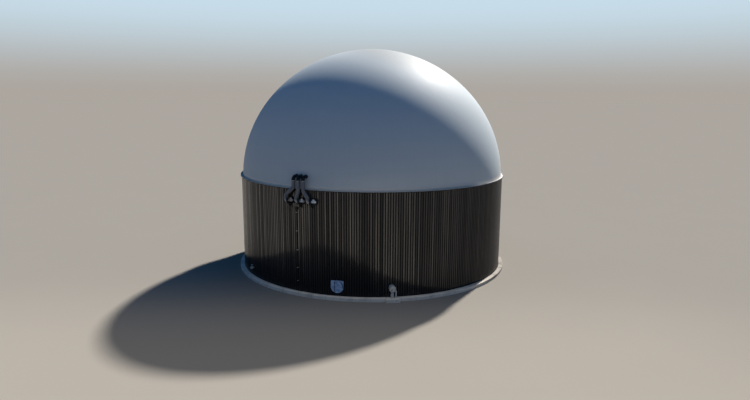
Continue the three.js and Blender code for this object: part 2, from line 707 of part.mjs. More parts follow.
// Sampling valve: a flanged stub with a valve body, bonnet and handwheel

function addSamplingValve() {
  const distance = VALVE_REACH - VALVE_BODY_SET_BACK;
  const inside = SHELL_OUTER_RADIUS - SEAT_DEPTH;
  const height = VALVE_HEIGHT;
  const stub = outwardRod(VALVE_PIPE_RADIUS, inside, VALVE_REACH, 0, height, COARSE_SIDES);
  const wallPad = outwardRod(
    2 * VALVE_PIPE_RADIUS, inside, SHELL_OUTER_RADIUS + PAD_THICKNESS, 0, height, COARSE_SIDES);
  const endFlange = outwardRod(
    VALVE_FLANGE_RADIUS, VALVE_REACH - VALVE_FLANGE_THICKNESS, VALVE_REACH, 0, height, COARSE_SIDES);
  const body = upright(
    VALVE_BODY_RADIUS, height - VALVE_BODY_HALF_HEIGHT, height + VALVE_BODY_HALF_HEIGHT,
    0, distance, COARSE_SIDES);
  const stem = upright(STEM_RADIUS, height, height + STEM_RISE, 0, distance, COARSE_SIDES);
  const wheel = upright(
    WHEEL_RADIUS, height + WHEEL_RISE, height + WHEEL_RISE + WHEEL_THICKNESS, 0, distance, COARSE_SIDES);
  const whole = join(stub, wallPad, endFlange, body, stem, wheel);
  place('sampling_valve', seatedOn(shellCutter, VALVE_AZIMUTH, whole), pipeSteel, VALVE_AZIMUTH);
}

addSlab();
addTankWall();
addRim();
addDome();
addAirSupply();
addConduit();
addManway();
addTee();
addDrainPipe();
addSidePipe();
addPlinth();
addSamplingValve();

export default digester;
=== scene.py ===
import math

import bmesh
import bpy
import numpy as np
from bpy.props import FloatProperty, FloatVectorProperty, IntProperty, PointerProperty
from mathutils import Matrix, Vector


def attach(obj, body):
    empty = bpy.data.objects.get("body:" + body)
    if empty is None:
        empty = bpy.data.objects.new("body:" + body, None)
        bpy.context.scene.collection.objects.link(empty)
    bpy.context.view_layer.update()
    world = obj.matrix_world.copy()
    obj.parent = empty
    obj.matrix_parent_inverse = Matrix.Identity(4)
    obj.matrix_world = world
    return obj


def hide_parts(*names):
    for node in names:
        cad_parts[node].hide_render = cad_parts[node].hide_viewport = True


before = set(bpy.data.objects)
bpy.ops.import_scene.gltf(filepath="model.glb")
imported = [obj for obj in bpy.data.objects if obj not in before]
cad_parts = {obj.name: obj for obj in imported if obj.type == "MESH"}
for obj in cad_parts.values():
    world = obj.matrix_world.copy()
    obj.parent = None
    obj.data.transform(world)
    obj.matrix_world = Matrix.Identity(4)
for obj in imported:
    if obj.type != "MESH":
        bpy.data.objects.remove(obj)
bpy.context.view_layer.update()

bl_info = {
    "name": "Biogas digester",
    "version": (1, 0, 0),
    "blender": (4, 5, 0),
    "location": "View3D > Sidebar > Digester",
    "description": "Dresses the frame of a digester: dome, cladding, rim, slab, air supply and fittings",
    "category": "Object",
}

BODY = "root"
TURN = 2 * math.pi
ACROSS, OUT, INWARDS, UP = (1, 0, 0), (0, -1, 0), (0, 1, 0), (0, 0, 1)
UPRIGHT = (ACROSS, INWARDS, UP)
SIDEWAYS = (OUT, UP, ACROSS)
GAP = 0.0003


# Sizes and colours that a user would change


def metres(name, value, description):
    return FloatProperty(name=name, default=value, min=0.0, unit="LENGTH", description=description)


def degrees(name, value, description):
    return FloatProperty(name=name, default=math.radians(value), subtype="ANGLE", description=description)


def number(name, value, least, description):
    return IntProperty(name=name, default=value, min=least, description=description)


def tint(name, value, description):
    return FloatVectorProperty(
        name=name, default=value, size=3, min=0.0, max=1.0, subtype="COLOR", description=description
    )


class DigesterSizes(bpy.types.PropertyGroup):
    """Sizes of the tank and of its fittings, in metres from the tank's axis and from the ground."""

    slab_radius: metres("Slab radius", 13.08, "Outer radius of the concrete slab")
    slab_height: metres("Slab height", 0.28, "Height of the slab over the ground")
    shell_radius: metres("Shell radius", 12.52, "Outer radius of the steel wall")
    crest_radius: metres("Crest radius", 12.684, "Radius to the crests of the cladding's ribs")
    rib_depth: metres("Rib depth", 0.035, "Depth of a rib")
    rib_crest: metres("Rib crest", 0.11, "Width of a rib's flat crest")
    rib_flank: metres("Rib flank", 0.024, "Width that a rib's slanted side takes up")
    ribs: number("Ribs", 385, 5, "Ribs in one turn")
    ribs_per_sheet: number("Ribs per sheet", 5, 1, "Ribs that one sheet covers")
    wall_top: metres("Wall top", 8.845, "Height of the wall's top")
    rim_radius: metres("Rim radius", 12.78, "Outer radius of the rim")
    rim_upstand: metres("Rim upstand", 0.115, "Height of the rim's lip over the wall top")
    dome_radius: metres("Dome radius", 12.55, "Radius of the dome at its foot")
    dome_spring: metres("Dome spring", 8.74, "Height from which the dome's curve starts")
    dome_rise: metres("Dome rise", 11.98, "Height of the dome over its spring")
    dome_exponent: FloatProperty(
        name="Dome exponent", default=1.97, min=1.0, description="2 gives an ellipse, less a leaner dome"
    )
    dome_panels: number("Dome panels", 44, 3, "Welded panels in one turn")
    hose_radius: metres("Hose radius", 0.16, "Outer radius of an air hose")
    hose_distance: metres("Hose distance", 12.96, "Distance of the hoses from the tank's axis")
    hose_foot: metres("Hose foot", 7.93, "Height of the hoses' level ends")
    elbow_height: metres("Elbow height", 9.93, "Height at which the elbows enter the dome")
    elbow_azimuth: degrees("Elbow azimuth", -26.95, "Azimuth of the middle elbow")
    elbow_pitch: degrees("Elbow pitch", 2.05, "Azimuth from one elbow to the next")
    blower_azimuth: degrees("Blower azimuth", -27.95, "Azimuth of the middle hose foot")
    blower_pitch: degrees("Blower pitch", 4.75, "Azimuth from one hose foot to the next")
    conduit_azimuth: degrees("Conduit azimuth", -28.6, "Azimuth of the cable conduit")
    manway_azimuth: degrees("Manway azimuth", -12.4, "Azimuth of the manway")
    manway_height: metres("Manway height", 1.09, "Height of the manway's centre")
    manway_opening: metres("Manway opening", 0.64, "Radius of the cladding's opening round the manway")
    outlet_azimuth: degrees("Outlet azimuth", 7.75, "Azimuth of the outlet")
    outlet_height: metres("Outlet height", 1.06, "Height of the outlet's centre")
    outlet_opening: metres("Outlet opening", 0.34, "Radius of the cladding's opening round the outlet")
    valve_azimuth: degrees("Valve azimuth", -57.1, "Azimuth of the sampling valve")
    valve_height: metres("Valve height", 1.0, "Height of the sampling valve")
    valve_opening: metres("Valve opening", 0.18, "Radius of the cladding's opening round the valve")


class DigesterColours(bpy.types.PropertyGroup):
    """Base colours of the finishes and the colours of the light."""

    membrane: tint("Membrane", (0.50, 0.55, 0.57), "Coated dome membrane")
    cladding: tint("Cladding", (0.0135, 0.0135, 0.015), "Black coated sheet")
    enamel: tint("Enamel", (0.012, 0.033, 0.08), "Glass-fused steel of the wall")
    zinc: tint("Zinc", (0.42, 0.43, 0.44), "Galvanised flashing and clamps")
    bolts: tint("Bolts", (0.55, 0.56, 0.58), "Zinc-plated bolts and bands")
    concrete: tint("Concrete", (0.67, 0.62, 0.54), "Slab and plinth")
    hose: tint("Hose", (0.20, 0.205, 0.22), "Spiral hose")
    plastic: tint("Plastic", (0.008, 0.008, 0.009), "Moulded black plastic")
    black_paint: tint("Black paint", (0.008, 0.008, 0.009), "Blowers and brackets")
    motor: tint("Motor", (0.76, 0.76, 0.76), "Motor housings")
    film: tint("Film", (0.18, 0.31, 0.52), "Protective film on the manway")
    steel: tint("Steel", (0.73, 0.70, 0.63), "Pickled pipes and flanges")
    floor: tint("Floor", (0.232, 0.217, 0.194), "Studio floor")
    sky_light: tint("Sky light", (0.033, 0.112, 0.262), "Soft light from all round")
    backdrop_low: tint("Backdrop, low", (0.414, 0.382, 0.349), "Backdrop at the horizon")
    backdrop_high: tint("Backdrop, high", (0.57, 0.72, 0.82), "Backdrop higher up")


class Settings:
    """Reads a property of one of the scene's groups each time that it is asked for."""

    def __init__(self, group):
        self.group = group

    def __getattr__(self, name):
        return getattr(getattr(bpy.context.scene, self.group), name)


tank = Settings("digester_sizes")
tints = Settings("digester_colours")


# Shader maths


def maths(operation):
    """A method that adds a Math node with the signal and what else it is given."""

    def method(signal, *others):
        return signal.nodes.node("ShaderNodeMath", {"operation": operation}, (signal, *others))

    return method


class Signal:
    """A socket of a node. Sums, products and the like on it add the Math nodes that work them out."""

    def __init__(self, nodes, socket):
        self.nodes = nodes
        self.socket = socket

    __add__ = __radd__ = maths("ADD")
    __mul__ = __rmul__ = maths("MULTIPLY")
    __sub__ = maths("SUBTRACT")
    __truediv__ = maths("DIVIDE")
    lowest = maths("MINIMUM")
    highest = maths("MAXIMUM")
    absolute = maths("ABSOLUTE")
    floor = maths("FLOOR")
    root = maths("SQRT")
    arctangent = maths("ARCTAN2")
    to_and_fro = maths("PINGPONG")

    def __rsub__(self, other):
        return self.nodes.node("ShaderNodeMath", {"operation": "SUBTRACT"}, (other, self))

    def __neg__(self):
        return self * -1.0

    def to_nearest(self):
        """How far the value lies from the nearest whole number, from 0 to 0.5."""
        return self.to_and_fro(0.5)


class Nodes:
    """A node tree, the coordinates that its patterns read, and the ways to add to it."""

    def __init__(self, tree, spot):
        self.tree = tree
        self.tree.nodes.clear()
        self.spot = self.node("ShaderNodeTexCoord", {}, (), spot)

    def node(self, kind, settings, sockets, output=0):
        """Adds a node: first its settings, then its sockets by place or name, each a number, a colour or a
        link. Gives the output of a place or name."""
        node = self.tree.nodes.new(kind)
        for key, value in settings.items():
            setattr(node, key, value)
        for key, value in sockets.items() if isinstance(sockets, dict) else enumerate(sockets):
            if isinstance(value, Signal):
                self.tree.links.new(value.socket, node.inputs[key])
            else:
                node.inputs[key].default_value = value
        return None if output is None else Signal(self, node.outputs[output])

    def along(self, axis):
        return self.node("ShaderNodeSeparateXYZ", {}, (self.spot,), axis)

    def noise(self, scale, detail=4.0, roughness=0.55, stretch=None):
        """Noise. A stretch is two factors for the spot, one sideways and one upwards."""
        where = self.spot
        if stretch:
            factors = (stretch[0], stretch[0], stretch[1])
            where = self.node("ShaderNodeVectorMath", {"operation": "MULTIPLY"}, (where, factors))
        sockets = {"Vector": where, "Scale": scale, "Detail": detail, "Roughness": roughness}
        return self.node("ShaderNodeTexNoise", {}, sockets)

    def cells(self, scale):
        return self.node("ShaderNodeTexVoronoi", {}, {"Vector": self.spot, "Scale": scale})

    def chance(self, value):
        """A number from 0 to 1 that is the same wherever the value is."""
        return self.node("ShaderNodeTexWhiteNoise", {"noise_dimensions": "1D"}, {"W": value})

    def fade(self, value, low, high, start=0.0, end=1.0):
        """Goes smoothly from start to end while the value goes from low to high."""
        sockets = (value, low, high, start, end)
        return self.node("ShaderNodeMapRange", {"interpolation_type": "SMOOTHSTEP"}, sockets)

    def drop(self, value, low, high):
        return self.fade(value, low, high, 1.0, 0.0)

    def blend(self, factor, first, second):
        """The first colour where the factor is 0, the second where it is 1."""
        first, second = (end if isinstance(end, Signal) else (*end, 1.0) for end in (first, second))
        return self.node("ShaderNodeMix", {"data_type": "RGBA"}, {0: factor, 6: first, 7: second}, 2)


class Finish(Nodes):
    """A procedural material: a Principled shader, whose constants are set on its own sockets, and the
    patterns that feed it."""

    def __init__(self, name, colour, roughness, **constants):
        self.colour = tuple(getattr(tints, colour))
        self.material = bpy.data.materials.new(name)
        self.material.use_nodes = True
        self.material.diffuse_color = (*self.colour, 1.0)
        super().__init__(self.material.node_tree, "Object")
        self.shader = self.tree.nodes.new("ShaderNodeBsdfPrincipled")
        output = self.tree.nodes.new("ShaderNodeOutputMaterial")
        self.tree.links.new(self.shader.outputs[0], output.inputs[0])
        self.shader.inputs["Base Color"].default_value = (*self.colour, 1.0)
        self.shader.inputs["Roughness"].default_value = roughness
        for socket, value in constants.items():
            self.shader.inputs[socket.replace("_", " ")].default_value = value

    def shade(self, factor, amount):
        """The finish's own colour, made darker by up to the amount where the factor is 1."""
        return self.blend(factor, self.colour, tuple(part * (1 - amount) for part in self.colour))

    def azimuth(self):
        return self.along(0).arctangent(-self.along(1))

    def reach(self):
        return (self.along(0) * self.along(0) + self.along(1) * self.along(1)).root()

    def weather_side(self):
        """From -1 on the sheltered side to 1 on the side that the sun and the weather come from."""
        return (self.along(0) * 0.52 + self.along(1) * 0.854) / self.reach()

    def feed(self, socket, value):
        self.tree.links.new(value.socket, self.shader.inputs[socket])

    def look(self, colour, roughness, height=None, distance=0.0, strength=1.0):
        """Feeds the shader its colour, its roughness, and bumps from a height that stands for a distance."""
        self.feed("Base Color", colour)
        self.feed("Roughness", roughness)
        if height:
            sockets = {"Height": height, "Distance": distance, "Strength": strength}
            self.feed("Normal", self.node("ShaderNodeBump", {}, sockets))
        return self.material


CROWN_SEAM = 3.4
WALL_PLATES = 28
WALL_COURSE = 1.4
SLAB_BOARDS = 66


def finish(slot):
    """A slot's material, made the first time that a piece asks for it."""
    name = f"{slot}_finish"
    return bpy.data.materials.get(name) or FINISHES[slot](name)


def membrane_finish(name):
    """Satin coated fabric: welded panel seams, a crown seam, rain streaks, a pale warm band along the foot
    that is dust and painted bounce light where the rim's ledge shades the foot, and painted shade on the flat
    top, a little more of it towards +x, the sun's side, that tones the lit crown down."""
    own = Finish(name, "membrane", 0.6, IOR=1.18, Coat_Weight=0.02, Coat_Roughness=0.28)
    panels, reach = tank.dome_panels, own.reach()
    aside = (own.azimuth() * (panels / TURN)).to_nearest() * reach * (TURN / panels)
    weld = own.drop(aside, 0.02, 0.035).highest(own.drop((reach - CROWN_SEAM).absolute(), 0.02, 0.04))
    streaks = own.fade(own.noise(1.0, 5.0, stretch=(2.2, 0.12)), 0.42, 0.68)
    dust = own.drop(own.along(2), 8.9, 11.5) * streaks
    cloud = own.noise(0.22, 3.0)
    # Foot band: dust, and painted bounce light where the rim's ledge shades the dome's foot.
    foot = own.drop(own.along(2), 8.95, 9.25)
    # Painted shade on the flat top, more of it towards +x: it tones down the brightly lit crown.
    crown = own.fade(own.along(2) + own.along(0) * 0.3, 18.8, 20.9) * (0.8 + cloud * 0.4)
    # Seams and cloudy tone, with the painted shade on the crown.
    plain = own.blend(crown, own.shade(weld * 0.25 + cloud * 0.35, 0.1), (0.34, 0.36, 0.365))
    stained_and_shaded = own.blend(dust * 0.12, plain, (0.42, 0.40, 0.36))
    rough = 0.56 + own.noise(0.8) * 0.06 + dust * 0.08
    weave_and_weld = weld * 0.4 + own.noise(240.0, 2.0) * 0.08
    # The pale warm foot band, dust and painted bounce light, goes over everything else.
    return own.look(own.blend(foot, stained_and_shaded, (0.92, 0.80, 0.66)), rough, weave_and_weld, 0.002)


def cladding_finish(name):
    """Glossy black coated sheet: the crests shine and the pans hardly do, every rib and every sheet a little
    differently, and less on the weather side. Low on the wall the shine and the dust on the crests fade out
    under a line that stands highest beside the manway and lower on the right: a painted reflection of the
    ground's shadow. The pans carry painted shade, the sheet grows lighter towards the top, and rain has drawn
    thin runs of dust down them."""
    shine = {"Specular_IOR_Level": 0.13, "Coat_Roughness": 0.1, "Coat_IOR": 2.2}
    own = Finish(name, "cladding", 0.2, **shine)
    turn = own.azimuth() / TURN
    rib = own.chance((turn * tank.ribs + 0.5).floor())
    sheet = own.chance((turn * (tank.ribs / tank.ribs_per_sheet)).floor())
    crest = own.fade(own.reach(), tank.crest_radius - 0.032, tank.crest_radius - 0.014)
    runs = own.fade(own.noise(1.0, stretch=(8.0, 0.16)), 0.38, 0.66)
    haze = own.noise(0.6, 3.0, stretch=(1.0, 0.5))
    foot = own.drop(own.along(2), 0.3, 1.2) * own.fade(own.noise(3.0), 0.45, 0.7)
    # Where the line of the painted reflected shadow rises beside the manway, and where it drops on the right.
    shadow_line_raised = own.fade((own.azimuth() + 0.18).absolute(), 0.05, 0.22, 0.9, 0.0)
    shadow_line_lowered = own.fade(own.azimuth(), -0.1, 0.12) * own.fade(own.azimuth(), 1.2, 2.4, 1.2, 0.0)
    # 1 up the wall and 0.12 low down: the painted reflection of the ground's shadow, for shine and crest
    #                                  dust.
    high = own.fade(own.along(2) + shadow_line_lowered - shadow_line_raised, 0.7, 3.7, 0.12, 1.0)
    # The sheet grows lighter towards the top.
    lighter_towards_top = own.fade(own.along(2), 5.5, 8.8, 0.0, 0.14)
    # Crest dust dimmed by the painted reflected shadow, dust at the foot, and lighter towards the top.
    dust = (runs * crest * high * 0.5 + foot * 0.3 + lighter_towards_top) * (0.4 + sheet * 0.6)
    worn = own.fade(own.weather_side(), -0.95, 0.0) * 0.93
    # The coat is dimmed low on the wall by the same painted reflected shadow.
    own.feed("Coat Weight", crest * (0.15 + rib * 0.85) * (0.6 + runs * 0.4) * (1.0 - worn) * high)
    # The pans are darker than the crests: painted shade in the recesses, under the dust.
    coated = own.blend(dust, own.shade(1.0 - crest, 0.5), (0.06, 0.054, 0.05))
    rough = 0.11 + sheet * 0.06 + haze * 0.08 + runs * 0.06
    return own.look(coated, rough, own.noise(1.0, 2.0, stretch=(1.4, 0.5)), 0.012, 0.3)


def enamel_finish(name):
    """Glass-fused steel: dark blue, with plate joints, sealed bolt rows and fine speckle."""
    own = Finish(name, "enamel", 0.16, Coat_Weight=0.4, Coat_Roughness=0.08)
    upright = (own.azimuth() * (WALL_PLATES / TURN)).to_nearest()
    joint = (own.along(2) / WALL_COURSE).to_nearest().lowest(upright)
    seal = own.drop(joint, 0.012, 0.03)
    speckle = own.drop(own.cells(120.0), 0.1, 0.25)
    glass = own.blend(speckle * 0.3, own.colour, (0.05, 0.1, 0.2))
    rough = 0.14 + seal * 0.4 + own.noise(6.0) * 0.06
    return own.look(own.blend(seal, glass, (0.3, 0.3, 0.3)), rough, seal + own.noise(30.0) * 0.1, 0.003)


def zinc_finish(name):
    """Weathered galvanised sheet: spangle, dull patches and grime."""
    own = Finish(name, "zinc", 0.55, Metallic=0.25)
    spangle = own.cells(38.0)
    grime = own.fade(own.noise(2.5), 0.5, 0.75)
    dull = own.blend(grime * 0.4, own.shade(spangle, 0.25), (0.25, 0.24, 0.23))
    return own.look(dull, 0.45 + spangle * 0.15 + grime * 0.2, own.noise(14.0), 0.001, 0.4)


def bolt_finish(name):
    """Zinc-plated bolts and bands: fine dark wear."""
    own = Finish(name, "bolts", 0.38, Metallic=0.5)
    wear = own.noise(60.0)
    return own.look(own.shade(own.fade(wear, 0.4, 0.7), 0.4), 0.3 + wear * 0.25)


def concrete_finish(name):
    """Cast concrete: board joints down its edge, pores, stains, pale and dark grain, and painted shade that
    darkens it on the side that the sun comes from."""
    own = Finish(name, "concrete", 0.9)
    boards = (own.azimuth() * (SLAB_BOARDS / TURN)).to_nearest()
    joint = own.drop(boards, 0.004, 0.012) * own.fade(own.reach(), 13.02, 13.06)
    pores = own.drop(own.cells(42.0), 0.08, 0.2) * own.fade(own.noise(9.0), 0.5, 0.6)
    stain = own.fade(own.noise(0.9, 6.0, 0.65), 0.42, 0.68)
    fine = own.noise(28.0, 6.0, 0.7)
    pale = own.blend(fine, *(tuple(part * share for part in own.colour) for share in (1.2, 0.8)))
    mask = (stain * 0.35 + joint * 0.6 + pores * 0.5).lowest(1.0)
    # Painted shade on the side that the sun comes from.
    painted_sun_side_shade = own.fade(own.weather_side(), -0.45, 0.05) * (0.7 + stain * 0.3)
    stained_and_sun_side_shaded = own.blend(painted_sun_side_shade, own.blend(mask, pale, (0.2, 0.18, 0.155)), (0.12, 0.105, 0.088))
    return own.look(stained_and_sun_side_shaded, 0.82 + fine * 0.15, fine * 0.5 - pores - joint * 0.8, 0.006)


def hose_finish(name):
    """Matt spiral hose: dusty in patches, and painted light that makes the bends at its foot pale."""
    own = Finish(name, "hose", 0.6)
    dust = own.fade(own.noise(5.0, 5.0), 0.45, 0.7)
    # Painted light on the bends at the hose's foot.
    bend = own.drop(own.along(2), 7.9, 8.2)
    patchy = own.blend(dust * 0.4, own.shade(own.noise(18.0), 0.35), (0.24, 0.23, 0.22))
    patchy_with_lit_bends = own.blend(bend * 0.7, patchy, (0.5, 0.5, 0.5))
    return own.look(patchy_with_lit_bends, 0.48 + dust * 0.3, own.noise(160.0, 3.0), 0.0008)


def plastic_finish(name):
    """Moulded black plastic: fine grain with dull, faded patches."""
    own = Finish(name, "plastic", 0.38, Specular_IOR_Level=0.25)
    faded = own.fade(own.noise(3.5), 0.4, 0.7)
    dull = own.blend(faded * 0.4, own.colour, (0.022, 0.022, 0.024))
    return own.look(dull, 0.28 + faded * 0.2, own.noise(320.0, 2.0), 0.0004)


def black_paint_finish(name):
    """Satin black paint: orange peel, dust and small chips down to the metal."""
    own = Finish(name, "black_paint", 0.36, Specular_IOR_Level=0.3)
    chips = own.fade(own.noise(26.0, 6.0, 0.7), 0.7, 0.74)
    dust = own.fade(own.noise(4.0, 5.0), 0.45, 0.75)
    own.feed("Metallic", chips * 0.8)
    chipped = own.blend(chips, own.blend(dust * 0.3, own.colour, (0.12, 0.11, 0.1)), (0.25, 0.24, 0.23))
    return own.look(chipped, 0.3 + dust * 0.3, own.noise(220.0, 2.0) * 0.5 - chips, 0.0006)


def motor_finish(name):
    """Light grey motor paint: a soft orange peel, faint grime in patches, painted shade that darkens its
    lower half, and duller and browner from the right motor to the left one."""
    own = Finish(name, "motor", 0.4)
    grime = own.fade(own.noise(9.0, 6.0), 0.5, 0.75)
    # Painted shade on the motor's lower half.
    painted_underside_shade = own.drop(own.along(2), tank.hose_foot - 0.04, tank.hose_foot + 0.04)
    # Duller and browner towards the left motor.
    towards_left_motor = own.drop(own.azimuth() - tank.blower_azimuth, -0.05, 0.14)
    paint = own.blend(grime * 0.5, own.blend(towards_left_motor, own.colour, (0.46, 0.39, 0.31)), (0.16, 0.16, 0.16))
    shaded_below = own.blend(painted_underside_shade * 0.9, paint, (0.03, 0.03, 0.033))
    return own.look(shaded_below, 0.34 + grime * 0.3, own.noise(260.0, 2.0), 0.0004)


def film_finish(name):
    """Pale blue protective film: cloudy where it lifts off the metal, glossy, finely wrinkled, and painted
    shade
    in its creases: down its left third and along the cover's edge on the right."""
    own = Finish(name, "film", 0.25, Coat_Weight=0.3, Coat_Roughness=0.1)
    cloud = own.noise(5.0, 5.0)
    across = (own.azimuth() - tank.manway_azimuth) * FLANGE_FACE
    up = own.along(2) - tank.manway_height
    fold = own.drop((across + FOLD_ASIDE).absolute(), 0.015, 0.055) * own.drop(up.absolute(), 0.42, 0.5)
    spread = (across * across + up * up).root()
    edge = own.drop((spread - 0.49).absolute(), 0.02, 0.06)
    lifted = own.fade(spread, 0.42, 0.5) * own.fade(across + up, -0.1, 0.2, 0.8, 0.0)
    # Painted shade in the creases.
    crease = fold.highest(edge * own.fade(across, 0.12, 0.22) * own.fade(up, -0.2, 0.0))
    film = own.blend(own.fade(cloud, 0.42, 0.62).highest(lifted), own.colour, (0.37, 0.50, 0.68))
    shaded_in_creases = own.blend(crease * 0.9, film, (0.02, 0.04, 0.07))
    return own.look(shaded_in_creases, 0.18 + cloud * 0.25, own.noise(11.0, stretch=(1.0, 0.5)), 0.01, 0.6)


def steel_finish(name):
    """Pickled stainless steel: dull grey, with drawn grain and water stains in patches."""
    own = Finish(name, "steel", 0.45, Metallic=0.35)
    grain = own.noise(40.0, 3.0, stretch=(1.0, 0.08))
    stain = own.fade(own.noise(6.0, 6.0), 0.48, 0.72)
    dull = own.blend(stain * 0.35, own.shade(grain, 0.25), (0.26, 0.24, 0.22))
    return own.look(dull, 0.36 + grain * 0.14 + stain * 0.25, grain, 0.0005)


def floor_finish(name):
    """Plain pale studio floor: an even colour with the faintest mottling."""
    own = Finish(name, "floor", 0.9, Specular_IOR_Level=0.0)
    mottle = own.noise(0.15, 3.0)
    return own.look(own.shade(mottle, 0.04), 0.85 + mottle * 0.1)


FINISHES = {
    "white_membrane": membrane_finish,
    "black_sheet": cladding_finish,
    "glass_lined_steel": enamel_finish,
    "galvanised": zinc_finish,
    "zinc_bolts": bolt_finish,
    "concrete": concrete_finish,
    "grey_hose": hose_finish,
    "black_plastic": plastic_finish,
    "black_paint": black_paint_finish,
    "motor_grey": motor_finish,
    "blue_film": film_finish,
    "pipe_steel": steel_finish,
    "studio_floor": floor_finish,
}


# Shapes, worked out as whole arrays


class Shape:
    """Points and faces of part of a piece. Adding shapes sets them side by side in one piece."""

    def __init__(self, points, faces, finish=0):
        self.points = np.asarray(points, dtype=float).reshape(-1, 3)
        self.faces = [(np.asarray(group), finish) for group in faces]

    def __add__(self, other):
        whole = Shape(np.vstack([self.points, other.points]), [])
        shift = len(self.points)
        whole.faces = self.faces + [(group + shift, index) for group, index in other.faces]
        return whole

    def __radd__(self, start):
        """Lets sum start from 0."""
        return self

    def turned(self, azimuth):
        """The shape carried round the tank's axis, from the front to an azimuth."""
        cosine, sine = math.cos(azimuth), math.sin(azimuth)
        x, y, z = self.points.T
        moved = Shape(np.stack([cosine * x - sine * y, sine * x + cosine * y, z], axis=1), [])
        moved.faces = self.faces
        return moved

    def finished(self, index):
        self.faces = [(group, index) for group, _ in self.faces]
        return self


def weave(rows, columns, round_rows=False, round_columns=True):
    """Quads of a grid of points: each joins a point, the next in its row, and the two in the row above."""
    row = np.arange(rows if round_rows else rows - 1)
    column = np.arange(columns if round_columns else columns - 1)
    row, column = np.meshgrid(row, column, indexing="ij")
    above, beside = (row + 1) % rows, (column + 1) % columns
    corners = [(row, column), (row, beside), (above, beside), (above, column)]
    return np.stack([level * columns + place for level, place in corners], axis=-1).reshape(-1, 4)


def on_wall(azimuth, radius, height):
    """Points at an azimuth, a radius from the tank's axis and a height: x is the radius times the sine of
    the azimuth, y less the radius times its cosine."""
    azimuth, radius, height = np.broadcast_arrays(azimuth, radius, height)
    return np.stack([radius * np.sin(azimuth), -radius * np.cos(azimuth), height], axis=-1)


def round_angles(count):
    return np.linspace(0, TURN, count, endpoint=False)


def revolved(profile, columns, closed=True):
    """A profile of radius and height, anticlockwise, carried round the tank's axis."""
    profile = np.asarray(profile, dtype=float)
    points = on_wall(round_angles(columns)[None, :], profile[:, :1], profile[:, 1:])
    return Shape(points, [weave(len(profile), columns, closed)])


def axes_for(axis):
    """Two directions square to each axis, so that the three make a right-handed set."""
    axis = np.asarray(axis, dtype=float)
    axis = axis / np.linalg.norm(axis, axis=-1, keepdims=True)
    helper = np.where(np.abs(axis[..., 2:]) < 0.9, (0.0, 0.0, 1.0), (1.0, 0.0, 0.0))
    across = np.cross(helper, axis)
    across = across / np.linalg.norm(across, axis=-1, keepdims=True)
    return across, np.cross(axis, across), axis


def lathed(profile, sides, start=(0, 0, 0), axis=UP, swell=None):
    """A profile of distance and radius turned about an axis: a point lies its distance along the axis, and
    its radius, times an optional swell that depends on the angle, away from it."""
    profile = np.asarray(profile, dtype=float)
    across, beyond, axis = axes_for(axis)
    angle = round_angles(sides)
    radius = profile[:, 1:] * (np.ones(sides) if swell is None else swell(angle))
    ring = np.cos(angle)[:, None] * across + np.sin(angle)[:, None] * beyond
    points = np.asarray(start) + profile[:, :1, None] * axis + radius[..., None] * ring
    return Shape(points, [weave(len(profile), sides)])


def outward(profile, sides, height, across=0.0):
    """A profile turned about a level axis out of the wall: its distances are from the tank's axis."""
    return lathed(profile, sides, (across, 0, height), OUT)


def collar(low, high, inner, outer):
    """The closed profile of a flat ring."""
    return [(low, inner), (low, outer), (high, outer), (high, inner), (low, inner)]


def piped(path, radius, sides, facing, ridge=None, loop=False):
    """A tube along a path: every ring is square to the path, its first point turned towards facing, its
    radius the given one plus an optional ridge of the length run and the angle. A loop runs back into its
    own start, and on any other path rings of no size close both ends."""
    path = np.asarray(path, dtype=float)
    run = np.concatenate([[0.0], np.cumsum(np.linalg.norm(np.diff(path, axis=0), axis=1))])
    along = np.roll(path, -1, axis=0) - np.roll(path, 1, axis=0) if loop else np.gradient(path, axis=0)
    along /= np.linalg.norm(along, axis=1, keepdims=True)
    facing = np.broadcast_to(np.asarray(facing, dtype=float), path.shape)
    first = facing - np.sum(facing * along, axis=1, keepdims=True) * along
    first /= np.linalg.norm(first, axis=1, keepdims=True)
    second = np.cross(along, first)
    angle = round_angles(sides)
    size = np.broadcast_to(np.asarray(radius, dtype=float), run.shape)[:, None] * np.ones(sides)
    if ridge is not None:
        size = size + ridge(run[:, None], angle[None, :])
    ring = np.cos(angle)[:, None] * first[:, None, :] + np.sin(angle)[:, None] * second[:, None, :]
    points = path[:, None, :] + size[..., None] * ring
    if not loop:
        start, end = (np.tile(path[place], (1, sides, 1)) for place in (0, -1))
        points = np.concatenate([start, points, end])
    return Shape(points, [weave(len(points), sides, loop)])


def prism(outline, low, high, axes):
    """A flat outline carried from low to high along the third of the axes."""
    outline = np.asarray(outline, dtype=float)
    corners = np.arange(len(outline))[None, :]
    level = np.array([low, high])[:, None, None]
    u, v, w = np.array(axes, dtype=float)
    points = outline[None, :, :1] * u + outline[None, :, 1:] * v + level * w
    return Shape(points, [weave(2, len(outline)), corners[:, ::-1], corners + len(outline)])


def bar(left, right, inside, outside, low, high):
    """A block in the front's frame, between two distances across, two from the axis, and two heights."""
    outline = [(left, -outside), (right, -outside), (right, -inside), (left, -inside)]
    return prism(outline, low, high, UPRIGHT)


